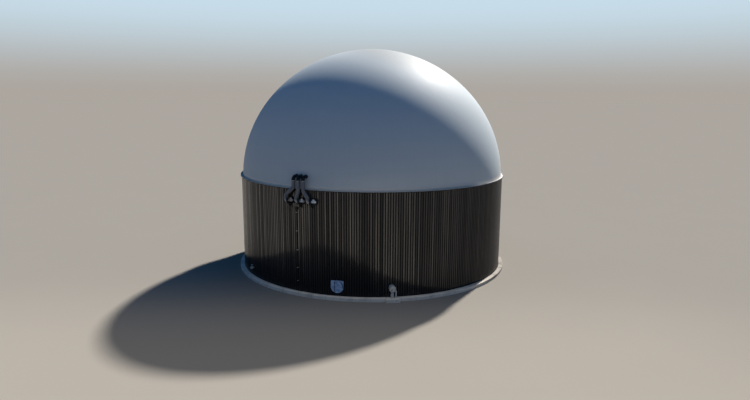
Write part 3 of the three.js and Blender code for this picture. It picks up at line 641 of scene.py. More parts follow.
def bolts(points, axes, radius, height, finish=1):
    """Hexagon heads on round washers, one at each point, each turned to its own axis."""
    points = np.atleast_2d(points)
    across, beyond, axis = axes_for(np.broadcast_to(axes, points.shape))
    washer = lathed([(0, 0), (0, 1.45), (0.18, 1.45), (0.18, 0)], 10)
    head = lathed([(0.18, 0), (0.18, 1.0), (1.0, 1.0), (1.0, 0)], 6)
    pattern = washer + head
    x, y, z = pattern.points.T
    placed = points[:, None, :] + radius * (
        x[None, :, None] * across[:, None, :] + y[None, :, None] * beyond[:, None, :]
    ) + z[None, :, None] * height * axis[:, None, :]
    shift = (np.arange(len(points)) * len(x))[:, None, None]
    faces = [(group[None] + shift).reshape(-1, group.shape[1]) for group, _ in pattern.faces]
    return Shape(placed, faces, finish)


def bolt_ring(centre, axis, ring, count, radius, height):
    """Bolts evenly round a centre."""
    across, beyond, axis = axes_for(axis)
    angle = (np.arange(count) + 0.5) * TURN / count
    spread = np.cos(angle)[:, None] * across + np.sin(angle)[:, None] * beyond
    return bolts(np.asarray(centre) + ring * spread, axis, radius, height)


def quarter_turn(bend, count):
    """A quarter circle from level to straight down: the run is the bend times the angle's sine, the drop the
    bend times 1 less its cosine."""
    angle = np.linspace(0, math.pi / 2, count)
    return bend * np.sin(angle), bend * (1 - np.cos(angle))


def add_object(name, data):
    made = bpy.data.objects.new(name, data)
    bpy.context.scene.collection.objects.link(made)
    return made


def make_object(name, shape, slots, crease=32, closed=True):
    """Puts a shape into a mesh with its finishes, merges its doubles, drops edges that no face uses, and
    turns a closed shape's faces outwards."""
    faces = [face for group, _ in shape.faces for face in group.tolist()]
    marks = np.concatenate([np.full(len(group), index) for group, index in shape.faces])
    mesh = bpy.data.meshes.new(name)
    mesh.from_pydata(shape.points.tolist(), [], faces)
    for slot in slots:
        mesh.materials.append(finish(slot))
    mesh.polygons.foreach_set("material_index", marks.astype(np.int32))
    work = bmesh.new()
    work.from_mesh(mesh)
    bmesh.ops.remove_doubles(work, verts=work.verts, dist=1e-5)
    bare = [edge for edge in work.edges if not edge.link_faces]
    bmesh.ops.delete(work, geom=bare, context="EDGES")
    if closed:
        bmesh.ops.recalc_face_normals(work, faces=work.faces)
    work.to_mesh(mesh)
    work.free()
    mesh.shade_smooth()
    mesh.set_sharp_from_angle(angle=math.radians(crease))
    mesh.update()
    return add_object(name, mesh)


def make_piece(name, shape, slots, stands_for=(), crease=32, bevel=0.0, wall=0.0):
    """Makes a piece of the digester: a sheet gets its thickness, a block its soft edges, and each its ties
    to the frame."""
    piece = make_object(name, shape, slots, crease, not wall)
    if wall:
        thicken = piece.modifiers.new("Sheet", "SOLIDIFY")
        thicken.thickness, thicken.offset = wall, -1.0
    if bevel:
        soften = piece.modifiers.new("Edges", "BEVEL")
        soften.width, soften.segments = bevel, 1
        soften.limit_method, soften.angle_limit = "ANGLE", math.radians(50)
    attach(piece, BODY)
    if stands_for:
        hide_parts(*stands_for)


# Dome and rim


SHEET = 0.003
RIM_FLOOR = 0.04
CLAMP_LENGTHS = 53
BOLTS_PER_CLAMP = 8
RIM_LENGTHS = 27
RIM_COLUMNS = 14
RIM_LAP = 0.0022


def dome_profile(angle):
    """A superellipse: the radius is the dome's times the cosine to the power 2 over the exponent, the height
    its rise times the sine to the same power, over its spring."""
    power = 2 / tank.dome_exponent
    radius = tank.dome_radius * np.cos(angle) ** power
    height = tank.dome_spring + tank.dome_rise * np.sin(angle) ** power
    return np.stack([radius, height], axis=-1)


def dome_angle(height):
    return math.asin(((height - tank.dome_spring) / tank.dome_rise) ** (tank.dome_exponent / 2))


def dome_shape():
    """The membrane's outer face: a hem that lies on the rim's ledge, and the dome's profile from the hem to
    the top, carried round the axis and closed there."""
    hem = tank.wall_top + RIM_FLOOR + 1.2 * SHEET
    outer = dome_profile(np.linspace(dome_angle(hem), math.pi / 2, 92))
    outer[-1, 0] = 0.0
    return revolved(np.vstack([[(tank.dome_radius + 0.055, hem)], outer]), 288, False)


def clamp_shape():
    """Flat clamp bars on the membrane's hem: a profile of four corners carried along each length's share of
    the turn, closed at its ends, and bolts evenly all round."""
    floor = tank.wall_top + RIM_FLOOR + 1.5 * SHEET
    inner, outer, top = tank.dome_radius + 0.006, tank.dome_radius + 0.066, floor + 0.012
    profile = np.array([(inner, floor), (outer, floor), (outer, top), (inner, top)])
    columns = 6
    start = np.arange(CLAMP_LENGTHS)[:, None] * TURN / CLAMP_LENGTHS
    azimuth = start + np.linspace(0.004, 0.996, columns) * TURN / CLAMP_LENGTHS
    points = on_wall(azimuth[:, None, :], profile[None, :, :1], profile[None, :, 1:])
    corners = np.arange(4)[None, :] * columns
    faces = [weave(4, columns, True, False), corners, corners[:, ::-1] + columns - 1]
    count = CLAMP_LENGTHS * BOLTS_PER_CLAMP
    spots = on_wall((np.arange(count) + 0.5) * TURN / count, tank.dome_radius + 0.036, top)
    return sum(Shape(length, faces) for length in points) + bolts(spots, UP, 0.012, 0.014)


def rim_shape():
    """A folded flashing: ledge, lip with a hem, and a black sealing strip with a drip edge under the lip,
    which also stands as the painted shadow line under the lip.
    Each 3 m length laps a little over the next, so the outline grows at its end and steps back after it."""
    low, floor = tank.wall_top + 0.012, tank.wall_top + RIM_FLOOR
    lip, top, inner = tank.rim_radius, tank.wall_top + tank.rim_upstand, tank.shell_radius - 0.07
    profile = np.array([
        (inner, floor - 0.006), (lip - 0.025, floor - 0.006), (lip - 0.006, low + 0.012),
        (lip - 0.006, low + 0.004), (lip + 0.006, low - 0.004), (lip + 0.008, low), (lip, low + 0.014),
        (lip, low + 0.056), (lip, top - 0.008), (lip - 0.004, top), (lip - 0.018, top),
        (lip - 0.022, top - 0.006), (lip - 0.022, floor), (inner, floor),
    ])
    # Black rows under the lip: a sealing strip and the painted shadow line.
    seal_and_shadow_rows = np.s_[1:7]
    part = np.concatenate([np.linspace(0, 0.985, RIM_COLUMNS - 1), [0.9999]])
    azimuth = ((np.arange(RIM_LENGTHS)[:, None] + part) * TURN / RIM_LENGTHS).ravel()
    growth = np.tile(np.where(np.arange(RIM_COLUMNS) < RIM_COLUMNS - 2, 0.0, RIM_LAP), RIM_LENGTHS)
    reach = profile[:, :1] + (profile[:, :1] > lip - 0.03) * growth[None, :]
    points = on_wall(azimuth[None, :], reach, profile[:, 1:])
    faces = weave(len(profile), len(azimuth), True).reshape(len(profile), -1, 4)
    metal = Shape(points, [np.delete(faces, seal_and_shadow_rows, axis=0).reshape(-1, 4)])
    # The black strip: seal and painted shadow line.
    seal = Shape(points, [faces[seal_and_shadow_rows].reshape(-1, 4)], 2)
    joints = (np.arange(RIM_LENGTHS)[:, None] + 0.992) * TURN / RIM_LENGTHS
    spots = on_wall(joints, lip + RIM_LAP, [[low + 0.03, top - 0.03]]).reshape(-1, 3)
    outwards = on_wall(joints, 1.0, [[0.0, 0.0]]).reshape(-1, 3)
    return metal + seal + bolts(spots, outwards, 0.005, 0.004)


# Cladding


SCREW_HEIGHTS = (0.42, 1.86, 3.31, 4.76, 6.21, 7.66, 8.74)


def rib_pitch():
    return TURN * tank.crest_radius / tank.ribs


def rib_height(arc):
    """The trapezoid of a rib, from 0 in the pan to 1 on the crest, by the distance from the nearest rib's
    middle."""
    aside = np.abs((arc / rib_pitch() + 0.5) % 1.0 - 0.5) * rib_pitch()
    return np.clip((tank.rib_crest / 2 + tank.rib_flank - aside) / tank.rib_flank, 0.0, 1.0)


def sheet_radius(arc, height):
    """The cladding's outer face: the pan's radius plus the rib, less each sheet's own lean and slow upright
    waves."""
    sheets = round(tank.ribs / tank.ribs_per_sheet)
    place = (arc / (rib_pitch() * tank.ribs_per_sheet)) % sheets
    index = np.floor(place).astype(int) % sheets
    chance = np.random.default_rng(7)
    lean, phase = chance.uniform(-0.0035, 0.0035, sheets), chance.uniform(0, TURN, sheets)
    length, slope = chance.uniform(2.2, 5.0, sheets), chance.uniform(-0.0008, 0.0008, sheets)
    wave = 0.0016 * np.sin(TURN * height / length[index] + phase[index]) + slope[index] * (height - 4.5)
    base = tank.crest_radius - tank.rib_depth * (1 - rib_height(arc))
    return base - 0.006 + lean[index] * 2 * (place % 1.0 - 0.5) + wave


def openings():
    """The azimuth, height and radius of each opening in the cladding."""
    measures, names = ("azimuth", "height", "opening"), ("valve", "manway", "outlet")
    return [[getattr(tank, f"{name}_{measure}") for measure in measures] for name in names]


def sheet_columns():
    """Arc lengths of the upright lines of the sheet: the four corners of each rib, and more across each
    opening."""
    corner, flank = tank.rib_crest / 2, tank.rib_flank
    corners = np.array([-corner - flank, -corner, corner, corner + flank])
    arcs = [((np.arange(tank.ribs) - tank.ribs // 2)[:, None] * rib_pitch() + corners).ravel()]
    for azimuth, _, radius in openings():
        arcs.append(azimuth * tank.crest_radius - radius * np.cos(np.linspace(0, math.pi, 49)))
    arcs = np.sort(np.concatenate(arcs))
    return arcs[np.concatenate([[True], np.diff(arcs) > 1e-4])]


def cladding_shape():
    """Two ribbed bands, one over the other, that part round each opening: there the lower ends and the upper
    starts half a chord under and over the opening's middle. Elsewhere the bands meet. Rows close to the
    ends keep the shading of the cut edges off the sheet."""
    arc = sheet_columns()
    holes = sorted((azimuth * tank.crest_radius, height, radius) for azimuth, height, radius in openings())
    places, heights, _ = zip(*holes)
    middle = np.interp(arc, places, heights)
    chord = np.zeros_like(arc)
    for place, height, radius in holes:
        half = np.sqrt(np.maximum(radius**2 - (arc - place) ** 2, 0.0))
        middle[half > 0] = height
        chord += half
    foot, top = tank.slab_height + 0.046, tank.wall_top - 0.002
    bands = []
    for low, high, rows in ((foot, middle - chord, 4), (middle + chord, top, 15)):
        part = np.concatenate([[0.0, 0.0005], np.linspace(0, 1, rows)[1:-1], [0.9995, 1.0]])[:, None]
        height = low + (high - low) * part
        radius = sheet_radius(np.broadcast_to(arc, height.shape), height)
        points = on_wall(arc[None, :] / tank.crest_radius, radius, height)
        bands.append(Shape(points, [weave(len(part), len(arc))]))
    return sum(bands)


def opening_trim_shape():
    """A folded collar round each opening, from the steel wall to just over the crests: a profile of radius
    and depth, whose radius times the angle's cosine goes along the wall's curve and times its sine up."""
    wall, crest, sides = tank.shell_radius + 0.004, tank.crest_radius, 64
    angle = round_angles(sides)
    trims = []
    for azimuth, height, radius in openings():
        section = np.array([
            (radius - 0.004, wall), (radius - 0.004, crest + 0.001), (radius + 0.028, crest + 0.001),
            (radius + 0.028, crest - 0.003), (radius, crest - 0.003), (radius, wall),
        ])
        across, up = section[:, :1] * np.cos(angle), section[:, :1] * np.sin(angle)
        points = on_wall(azimuth + across / crest, section[:, 1:], height + up)
        trims.append(Shape(points, [weave(len(section), sides, True)]))
    return sum(trims)


def foot_trim_shape():
    """The drip profile under the sheets: a level leg out from the wall, turned down at its edge."""
    low, inner, outer = tank.slab_height + 0.036, tank.shell_radius + 0.004, tank.crest_radius + 0.006
    return revolved([
        (inner, low), (outer, low - 0.004), (outer + 0.010, low - 0.018), (outer + 0.013, low - 0.017),
        (outer + 0.004, low), (outer + 0.002, low + 0.003), (inner, low + 0.004),
    ], 360)


def screw_shape():
    """Screws in every other pan, in level rows, left out where an opening is."""
    arc = (np.arange(0, tank.ribs, 2) + 0.5) * rib_pitch()
    arc, height = (grid.ravel() for grid in np.meshgrid(arc, SCREW_HEIGHTS))
    keep = np.ones(len(arc), dtype=bool)
    around = TURN * tank.crest_radius
    for azimuth, middle, radius in openings():
        aside = (arc - azimuth * tank.crest_radius + around / 2) % around - around / 2
        keep &= np.hypot(aside, height - middle) > radius + 0.04
    arc, height = arc[keep], height[keep]
    azimuth = arc / tank.crest_radius
    spots = on_wall(azimuth, sheet_radius(arc, height), height)
    return bolts(spots, on_wall(azimuth, 1.0, 0.0), 0.0075, 0.007, 0)


# Slab and plinth


SLAB_COLUMNS = 480
SLAB_CHIPS = 34
PLINTH_FRONT = 13.318
PLINTH_HALF = 0.59


def slab_shape():
    """A disc with a struck top and a chamfered edge, which is a little uneven along the turn: its radius goes
    in and out by a product of two sines, and small chips are out of its upper corner."""
    edge, top = tank.slab_radius, tank.slab_height
    profile = np.array([
        (0.0, 0.0), (edge - 0.004, 0.0), (edge - 0.002, 0.10), (edge - 0.003, top - 0.02),
        (edge - 0.02, top - 0.003), (edge - 0.12, top - 0.001), (12.40, top - 0.001), (0.0, top - 0.001),
    ])
    azimuth = round_angles(SLAB_COLUMNS)
    uneven = 0.0022 * (np.sin(37 * azimuth + 1.0) * np.sin(91 * azimuth) - 0.4)
    chance = np.random.default_rng(3)
    depths = chance.uniform(0.006, 0.018, SLAB_CHIPS)
    chips = np.zeros_like(azimuth)
    chips[chance.choice(SLAB_COLUMNS, SLAB_CHIPS, replace=False)] = depths
    weight = np.array([0, 0.5, 1, 1, 1, 0.3, 0, 0])[:, None]
    nick = np.array([0, 0, 0, 1, 1, 0, 0, 0])[:, None]
    radius = profile[:, :1] + weight * uneven - nick * chips
    height = profile[:, 1:] - nick * chips * 0.5
    return Shape(on_wall(azimuth[None, :], radius, height), [weave(len(profile), SLAB_COLUMNS)])


def plinth_shape():
    """A cast block whose back follows the slab's edge, with a socket cast in its front."""
    across = np.linspace(-PLINTH_HALF, PLINTH_HALF, 13)[::-1]
    back = np.sqrt((tank.slab_radius + 0.0005) ** 2 - across**2)
    outline = [(-PLINTH_HALF, -PLINTH_FRONT), (PLINTH_HALF, -PLINTH_FRONT), *zip(across, -back)]
    block = prism(outline, 0.0, tank.slab_height - 0.001, UPRIGHT)
    socket = outward([
        (13.3165, 0), (13.3165, 0.062), (13.3195, 0.062), (13.3195, 0.05), (13.3175, 0.047), (13.3175, 0),
    ], 24, 0.15, 0.28)
    return (block + socket.finished(1)).turned(tank.outlet_azimuth)


# Air supply


HOSE_SWINGS = ((0.25, 0.92), (0.5, 0.97), (0.47, 0.95))
HOSE_RIDGE = 0.011
HOSE_PITCH = 0.048
ELBOW_BEND = 0.25
ELBOW_SOCKET = 0.1
HOSE_BEND = 0.19
HOSE_END = 0.2
CASING_START = 0.228
CASING_END = 0.42
MOTOR_END = 0.74
FINS = 28
FIN_DEPTH = 0.15
SHAFT_RISE = 0.045
SHELF_DROP = 0.226
SHELF_PLATE = 0.012
BRACKET_FRONT = 13.11
CONDUIT_FOOT = 0.33
CONDUIT_TOP = 7.2
CONDUIT_RADIUS = 0.036
COUPLING_HEIGHTS = (2.0, 5.0)
CLIP_HEIGHTS = (1.18, 2.31, 3.82, 5.42, 6.98)


def air_lines():
    """For each of the three lines: its elbow's azimuth, its hose foot's, and the part of its way down on
    which the hose swings over."""
    return [
        (tank.elbow_azimuth + step * tank.elbow_pitch, tank.blower_azimuth + step * tank.blower_pitch, swing)
        for step, swing in zip((-1, 0, 1), HOSE_SWINGS)
    ]


def elbow_end():
    return tank.elbow_height - ELBOW_BEND - ELBOW_SOCKET


def shaft_height():
    return tank.hose_foot + SHAFT_RISE


def shelf_top():
    return shaft_height() - SHELF_DROP


def elbow_shape(azimuth):
    """Moulded elbow: level out of the dome, a quarter circle down into a socket, a bolted flange that lies
    on the membrane, and a band clamp on the socket."""
    level, distance, end = tank.elbow_height, tank.hose_distance, elbow_end()
    reach = float(dome_profile(dome_angle(level))[0])
    run, drop = quarter_turn(ELBOW_BEND, 18)
    bend = distance - ELBOW_BEND
    away = np.concatenate([np.linspace(reach - 0.1, bend, 5), bend + run[1:], [distance]])
    height = np.concatenate([np.full(5, level), level - drop[1:], [end + 0.02]])
    pipe = piped(np.stack([np.zeros_like(away), -away, height], axis=1), 0.153, 32, ACROSS)
    lean = math.atan2(level - tank.dome_spring, tank.dome_rise)
    outside = np.array([0.0, -math.cos(lean), math.sin(lean)])
    seat = np.array([0.0, -reach, level])
    flange = lathed([
        (-0.03, 0), (-0.03, 0.178), (0.016, 0.178), (0.022, 0.172), (0.024, 0.158), (0.05, 0.155), (0.05, 0),
    ], 40, seat, outside)
    studs = bolt_ring(seat + 0.022 * outside, outside, 0.167, 12, 0.005, 0.008)
    under = (0.0, -distance, end)
    socket = lathed([
        (0, 0), (0, 0.174), (0.005, 0.178), (0.09, 0.178), (0.1, 0.170), (0.115, 0.155), (0.115, 0),
    ], 40, under)
    band = lathed(collar(0.02, 0.062, 0.176, 0.186), 40, under)
    worm = bar(-0.032, 0.032, distance + 0.18, distance + 0.198, end + 0.026, end + 0.056)
    return (pipe + flange + studs + socket + (band + worm).finished(1)).turned(azimuth)


def hose_path(elbow_azimuth, foot_azimuth, swing):
    """Down from the elbow, swinging over to the foot by a smooth step of the way down, then a quarter circle
    into the level, and straight along the wall to the blower's cuff."""
    down = np.linspace(0, 1, 210)
    part = np.clip((down - swing[0]) / (swing[1] - swing[0]), 0, 1)
    azimuth = elbow_azimuth + (foot_azimuth - elbow_azimuth) * part**2 * (3 - 2 * part)
    top, low = elbow_end() - GAP, tank.hose_foot + HOSE_BEND
    fall = on_wall(azimuth, tank.hose_distance, top + (low - top) * down)
    across = np.array([math.cos(foot_azimuth), math.sin(foot_azimuth), 0.0])
    up = np.array(UP)
    foot = on_wall(foot_azimuth, tank.hose_distance, low)
    run, drop = quarter_turn(HOSE_BEND, 40)
    turn = foot + drop[1:, None] * across - run[1:, None] * up
    reach = np.linspace(HOSE_BEND, HOSE_END - 0.0005, 3)[1:, None]
    return np.vstack([fall, turn, foot - HOSE_BEND * up + reach * across])


def hose_shape(elbow_azimuth, foot_azimuth, swing):
    """A spiral hose: its radius has a ridge that climbs one pitch a turn."""

    def ridge(run, angle):
        return HOSE_RIDGE * np.maximum(np.cos(TURN * run / HOSE_PITCH - angle), -0.2)

    path = hose_path(elbow_azimuth, foot_azimuth, swing)
    return piped(path, tank.hose_radius - 0.012, 28, on_wall(elbow_azimuth, 1.0, 0.0), ridge)


def spiral(angle):
    """The casing's radius as a share of its largest: it grows evenly over three quarters of a turn from the
    tongue, and then stays."""
    part = (angle / TURN + 0.4) % 1.0
    return 0.88 + 0.12 * np.minimum(part / 0.75, 1.0)


def fins(angle):
    """Cooling fins: the motor's radius is larger wherever the cosine of the angle times their number is
    positive."""
    return 1 + FIN_DEPTH * (np.cos(FINS * angle) > 0)


def pedestal(left, right, depth, top):
    """A foot on the shelf: a base plate, two webs that narrow upwards, and four bolts."""
    base = shelf_top() + GAP
    plate = base + SHELF_PLATE
    inside, outside = tank.hose_distance - depth / 2, tank.hose_distance + depth / 2
    outline = [(inside + 0.01, plate), (outside - 0.01, plate), (outside - 0.045, top), (inside + 0.045, top)]
    webs = sum(prism(outline, edge, edge + 0.01, SIDEWAYS) for edge in (left + 0.02, right - 0.03))
    spots = [
        (across, -distance, plate)
        for across in (left + 0.011, right - 0.011) for distance in (inside + 0.018, outside - 0.018)
    ]
    return bar(left, right, inside, outside, base, plate) + webs + bolts(spots, UP, 0.007, 0.009)


def blower_shape(azimuth):
    """A blower whose shaft lies along the wall: a spiral casing between two lipped side plates, a cuff with a
    band clamp on the hose's end, a ring of bolts, and a foot."""
    away, height = -tank.hose_distance, shaft_height()
    inlet = (0.0, away, tank.hose_foot)
    start, end = CASING_START, CASING_END
    casing = lathed([
        (start, 0), (start, 0.225), (start + 0.012, 0.225), (start + 0.014, 0.214), (end - 0.014, 0.214),
        (end - 0.012, 0.225), (end, 0.225), (end, 0),
    ], 72, (0.0, away, height), ACROSS, spiral)
    cuff = lathed([
        (HOSE_END, 0), (HOSE_END, 0.167), (HOSE_END + 0.005, 0.171), (start - 0.008, 0.171),
        (start + 0.002, 0.150), (start + 0.002, 0),
    ], 36, inlet, ACROSS)
    band = lathed(collar(HOSE_END - 0.034, HOSE_END - 0.006, 0.160, 0.171), 36, inlet, ACROSS)
    studs = bolt_ring((end, away, height), ACROSS, 0.166, 12, 0.006, 0.008)
    foot = pedestal(start + 0.021, end - 0.021, 0.24, height - 0.14)
    return (casing + cuff + band.finished(1) + studs + foot).turned(azimuth)


def motor_shape(azimuth):
    """A flange motor along the wall: cooling fins round its middle, a fan cowl with ring slots at its end, a
    terminal box with a lid and a cable gland on top, and a foot."""
    distance, height = tank.hose_distance, shaft_height()
    shaft = (0.0, -distance, height)
    start, end = CASING_END + GAP, MOTOR_END
    flange = lathed([
        (start, 0), (start, 0.14), (start + 0.012, 0.14), (start + 0.015, 0.118), (start + 0.03, 0.112),
        (start + 0.03, 0),
    ], 44, shaft, ACROSS)
    body = lathed([
        (start + 0.022, 0), (start + 0.022, 0.11), (end - 0.105, 0.11), (end - 0.105, 0),
    ], 168, shaft, ACROSS, fins)
    cowl = lathed([
        (end - 0.11, 0), (end - 0.11, 0.133), (end - 0.105, 0.138), (end - 0.03, 0.138), (end - 0.012, 0.128),
        (end - 0.006, 0.106), (end - 0.014, 0.102), (end - 0.014, 0.090), (end - 0.003, 0.086),
        (end - 0.002, 0.074), (end - 0.012, 0.070), (end - 0.012, 0.058), (end - 0.001, 0.054), (end, 0),
    ], 44, shaft, ACROSS)
    middle, top = end - 0.185, height + 0.22
    near, far = distance - 0.056, distance + 0.056
    box = bar(middle - 0.06, middle + 0.06, near, far, height + 0.09, top - 0.008)
    lid = bar(middle - 0.064, middle + 0.064, near - 0.003, far + 0.003, top - 0.01, top)
    gland = lathed([
        (0, 0), (0, 0.014), (0.018, 0.014), (0.022, 0.01), (0.03, 0.01), (0.03, 0),
    ], 10, (middle + 0.05, -distance, top - 0.06), ACROSS)
    studs = bolt_ring((start + 0.012, -distance, height), ACROSS, 0.129, 8, 0.006, 0.008)
    foot = pedestal(0.525, 0.635, 0.19, height - 0.1)
    return (flange + body + cowl + box + lid + gland + studs + foot.finished(2)).turned(azimuth)


def bracket_shape(azimuth):
    """A welded bracket: a bolted wall plate, a shelf with a turned-down front edge, and a gusset under it."""
    shelf, inside, front = shelf_top(), tank.crest_radius - 0.03, BRACKET_FRONT
    under, plate = shelf - SHELF_PLATE, tank.crest_radius + 0.012
    gusset = [
        (inside, under), (inside, under - 0.344), (plate, under - 0.344), (front - 0.06, under - 0.03),
        (front - 0.06, under),
    ]
    spots = [(across, -plate, shelf - drop) for across in (0.21, 0.39) for drop in (0.06, 0.32)]
    return sum([
        bar(0.21, 0.67, inside, front, under, shelf),
        bar(0.21, 0.67, front - 0.008, front, under - 0.028, under),
        bar(0.18, 0.42, inside, plate, shelf - 0.37, under),
        prism(gusset, 0.294, 0.306, SIDEWAYS),
        bolts(spots, OUT, 0.010, 0.011),
    ]).turned(azimuth)


def conduit_shape():
    """A round conduit up the wall with couplings, saddle clips with screws, and a junction box at its top."""
    wall, clip, distance = tank.crest_radius, tank.crest_radius + 0.012, tank.crest_radius + 0.062
    profile = [(CONDUIT_FOOT, 0), (CONDUIT_FOOT, CONDUIT_RADIUS)]
    for height in COUPLING_HEIGHTS:
        top = height + 0.09
        profile += [(height, CONDUIT_RADIUS), (height, 0.041), (top, 0.041), (top, CONDUIT_RADIUS)]
    profile += [(CONDUIT_TOP, CONDUIT_RADIUS), (CONDUIT_TOP, 0)]
    shape = lathed(profile, 16, (0.0, -distance, 0.0))
    shape += bar(-0.1, 0.1, wall, distance + 0.05, 7.19, 7.42)
    shape += bar(-0.104, 0.104, distance + 0.05, distance + 0.056, 7.186, 7.424)
    angle = np.linspace(0, math.pi, 13)
    arch = [
        (-0.075, -wall), (-0.075, -clip), *zip(-0.046 * np.cos(angle), -distance - 0.046 * np.sin(angle)),
        (0.075, -clip), (0.075, -wall),
    ]
    for height in CLIP_HEIGHTS:
        shape += prism(arch, height - 0.022, height + 0.022, UPRIGHT).finished(1)
        shape += bolts([(across, -clip, height) for across in (-0.06, 0.06)], OUT, 0.006, 0.006)
    return shape.turned(tank.conduit_azimuth)


# Manway, outlet and valve


FLANGE_FACE = 12.765
FLANGE_BOLTS = 24
BOLT_CIRCLE = 0.478
NECK_START = 12.39
FILM_RADIUS = 0.545
FILM_TOP = 0.525
FOLD_ASIDE = 0.2
OUTLET_FACE = 13.09
OUTLET_BOLT_CIRCLE = 0.228
PIPE_DISTANCE = 12.88
PIPE_RADIUS = 0.125
BRANCH_DROP = 0.3
VALVE_FACE = 12.96
WHEEL_RADIUS = 0.098
WHEEL_SPOKES = 5


def manway_neck_shape():
    """A flanged neck with a weld bead and a pad on the wall."""
    face, wall, height = FLANGE_FACE, tank.shell_radius, tank.manway_height
    neck = outward([
        (NECK_START, 0.4), (NECK_START, 0.416), (wall + 0.012, 0.416), (wall + 0.014, 0.43),
        (wall + 0.028, 0.416), (face - 0.04, 0.416), (face - 0.03, 0.424), (face - 0.03, 0.516),
        (face - 0.026, 0.52), (face - 0.003, 0.52), (face, 0.517), (face, 0.4), (NECK_START, 0.4),
    ], 72, height)
    pad = outward(collar(wall + 0.002, wall + 0.012, 0.417, 0.56), 72, height)
    studs = bolt_ring((0, 0.03 - face, height), INWARDS, BOLT_CIRCLE, FLANGE_BOLTS, 0.013, 0.018)
    return (neck + studs + pad.finished(2)).turned(tank.manway_azimuth)


def manway_cover_shape():
    """A blind cover: a plate with a chamfered edge and a raised middle."""
    back = FLANGE_FACE + GAP
    return outward([
        (back, 0), (back, 0.517), (back + 0.003, 0.52), (back + 0.022, 0.52), (back + 0.025, 0.517),
        (back + 0.025, 0.42), (back + 0.028, 0.41), (back + 0.029, 0),
    ], 72, tank.manway_height).turned(tank.manway_azimuth)


def film_outline(angle):
    """The film's edge by its angle: a half circle below; above, a level top, an upright right side, and a
    left side that leans in a little."""
    cosine, sine = np.cos(angle), np.sin(angle)
    flat = FILM_TOP / np.maximum(sine, 1e-6)
    side = FILM_RADIUS / np.maximum(np.where(cosine > 0, cosine, 0.09 * sine - cosine), 1e-6)
    return np.where(sine > 0, np.minimum(flat, side), FILM_RADIUS)


def film_shape():
    """Film drawn over the bolted cover. Its distance from the axis is the cover's plus bell curves over the
    bolts and along a fold down its left third, less one along an arc at its upper right, plus sine pleats
    that grow towards its edge and a little slack, less a turn back round the flange at its edge, of which the
    loose upper part makes little."""
    rows, columns = 34, 192
    angle = round_angles(columns)[None, :]
    part = np.linspace(0, 1, rows)[:, None] ** 0.85
    reach = film_outline(angle) * part
    x, z = reach * np.cos(angle), reach * np.sin(angle)
    on_bolt = np.maximum(np.cos(FLANGE_BOLTS * angle), 0) ** 2
    lump = 0.007 * np.exp(-((reach - BOLT_CIRCLE) / 0.022) ** 2) * on_bolt
    fold = 0.008 * np.exp(-((x + FOLD_ASIDE + 0.03 * np.sin(5 * z)) / 0.018) ** 2) * (np.abs(z) < 0.47)
    arc = 0.007 * np.exp(-((reach - 0.40 - 0.02 * np.sin(3 * angle)) / 0.02) ** 2) * (x > 0) * (z > 0)
    pleat = 0.004 * np.sin(37 * angle + 5 * np.sin(3 * angle)) * np.clip((reach - 0.3) / 0.25, 0, 1)
    slack = 0.003 * np.sin(9 * x + 2) * np.sin(11 * z) * (1 - part**4)
    turned_back = np.where(z > 0.2, 0.006, 0.05) * np.clip((reach - 0.505) / 0.04, 0, 1) ** 2
    distance = FLANGE_FACE + 0.0365 + lump + fold - arc + pleat + slack - turned_back
    points = np.stack([x, -distance, tank.manway_height + z], axis=-1)
    return Shape(points, [weave(rows, columns)[:, ::-1]]).turned(tank.manway_azimuth)


def outlet_shape():
    """A tee: wall pad, run, a flange pair with a blind plate, its bolts and a plug, and a branch down with a
    weld bead."""
    height, face, wall = tank.outlet_height, OUTLET_FACE, tank.shell_radius
    run = outward([
        (wall - 0.02, 0), (wall - 0.02, 0.25), (wall + 0.016, 0.25), (wall + 0.02, 0.246),
        (wall + 0.02, 0.135), (wall + 0.03, PIPE_RADIUS), (face - 0.085, PIPE_RADIUS), (face - 0.064, 0.15),
        (face - 0.064, 0.267), (face - 0.061, 0.27), (face - 0.036, 0.27), (face - 0.034, 0.255),
        (face - 0.031, 0.255), (face - 0.03, 0.27), (face - 0.003, 0.27), (face, 0.267), (face, 0.19),
        (face - 0.004, 0.186), (face - 0.004, 0),
    ], 56, height)
    low = height - BRANCH_DROP
    branch = lathed([
        (low, 0), (low, 0.128), (low + 0.008, 0.131), (low + 0.016, PIPE_RADIUS), (height, PIPE_RADIUS),
        (height, 0),
    ], 44, (0, -PIPE_DISTANCE, 0))
    studs = bolt_ring((0, -face, height), OUT, OUTLET_BOLT_CIRCLE, 12, 0.015, 0.018)
    backs = bolt_ring((0, -face + 0.064, height), INWARDS, OUTLET_BOLT_CIRCLE, 12, 0.015, 0.02)
    plug = outward([
        (face - 0.004, 0), (face - 0.004, 0.05), (face - 0.001, 0.045), (face - 0.001, 0),
    ], 24, height - 0.07, -0.07)
    return (run + branch + studs + backs + plug.finished(2)).turned(tank.outlet_azimuth)


def drain_shape():
    """The pipe below the tee, with a coupling at half height and a bolted foot plate."""
    base, top = tank.slab_height + GAP, tank.outlet_height - BRANCH_DROP - GAP
    middle = (base + top) / 2
    pipe = lathed([
        (base, 0), (base, 0.157), (base + 0.003, 0.16), (base + 0.022, 0.16), (base + 0.025, 0.157),
        (base + 0.025, 0.136), (base + 0.036, PIPE_RADIUS), (middle - 0.04, PIPE_RADIUS),
        (middle - 0.04, 0.137), (middle - 0.034, 0.141), (middle + 0.034, 0.141), (middle + 0.04, 0.137),
        (middle + 0.04, PIPE_RADIUS), (top - 0.008, PIPE_RADIUS), (top, 0.129), (top, 0),
    ], 44, (0, -PIPE_DISTANCE, 0))
    studs = bolt_ring((0, -PIPE_DISTANCE, base + 0.025), UP, 0.147, 8, 0.008, 0.01)
    return (pipe + studs).turned(tank.outlet_azimuth)


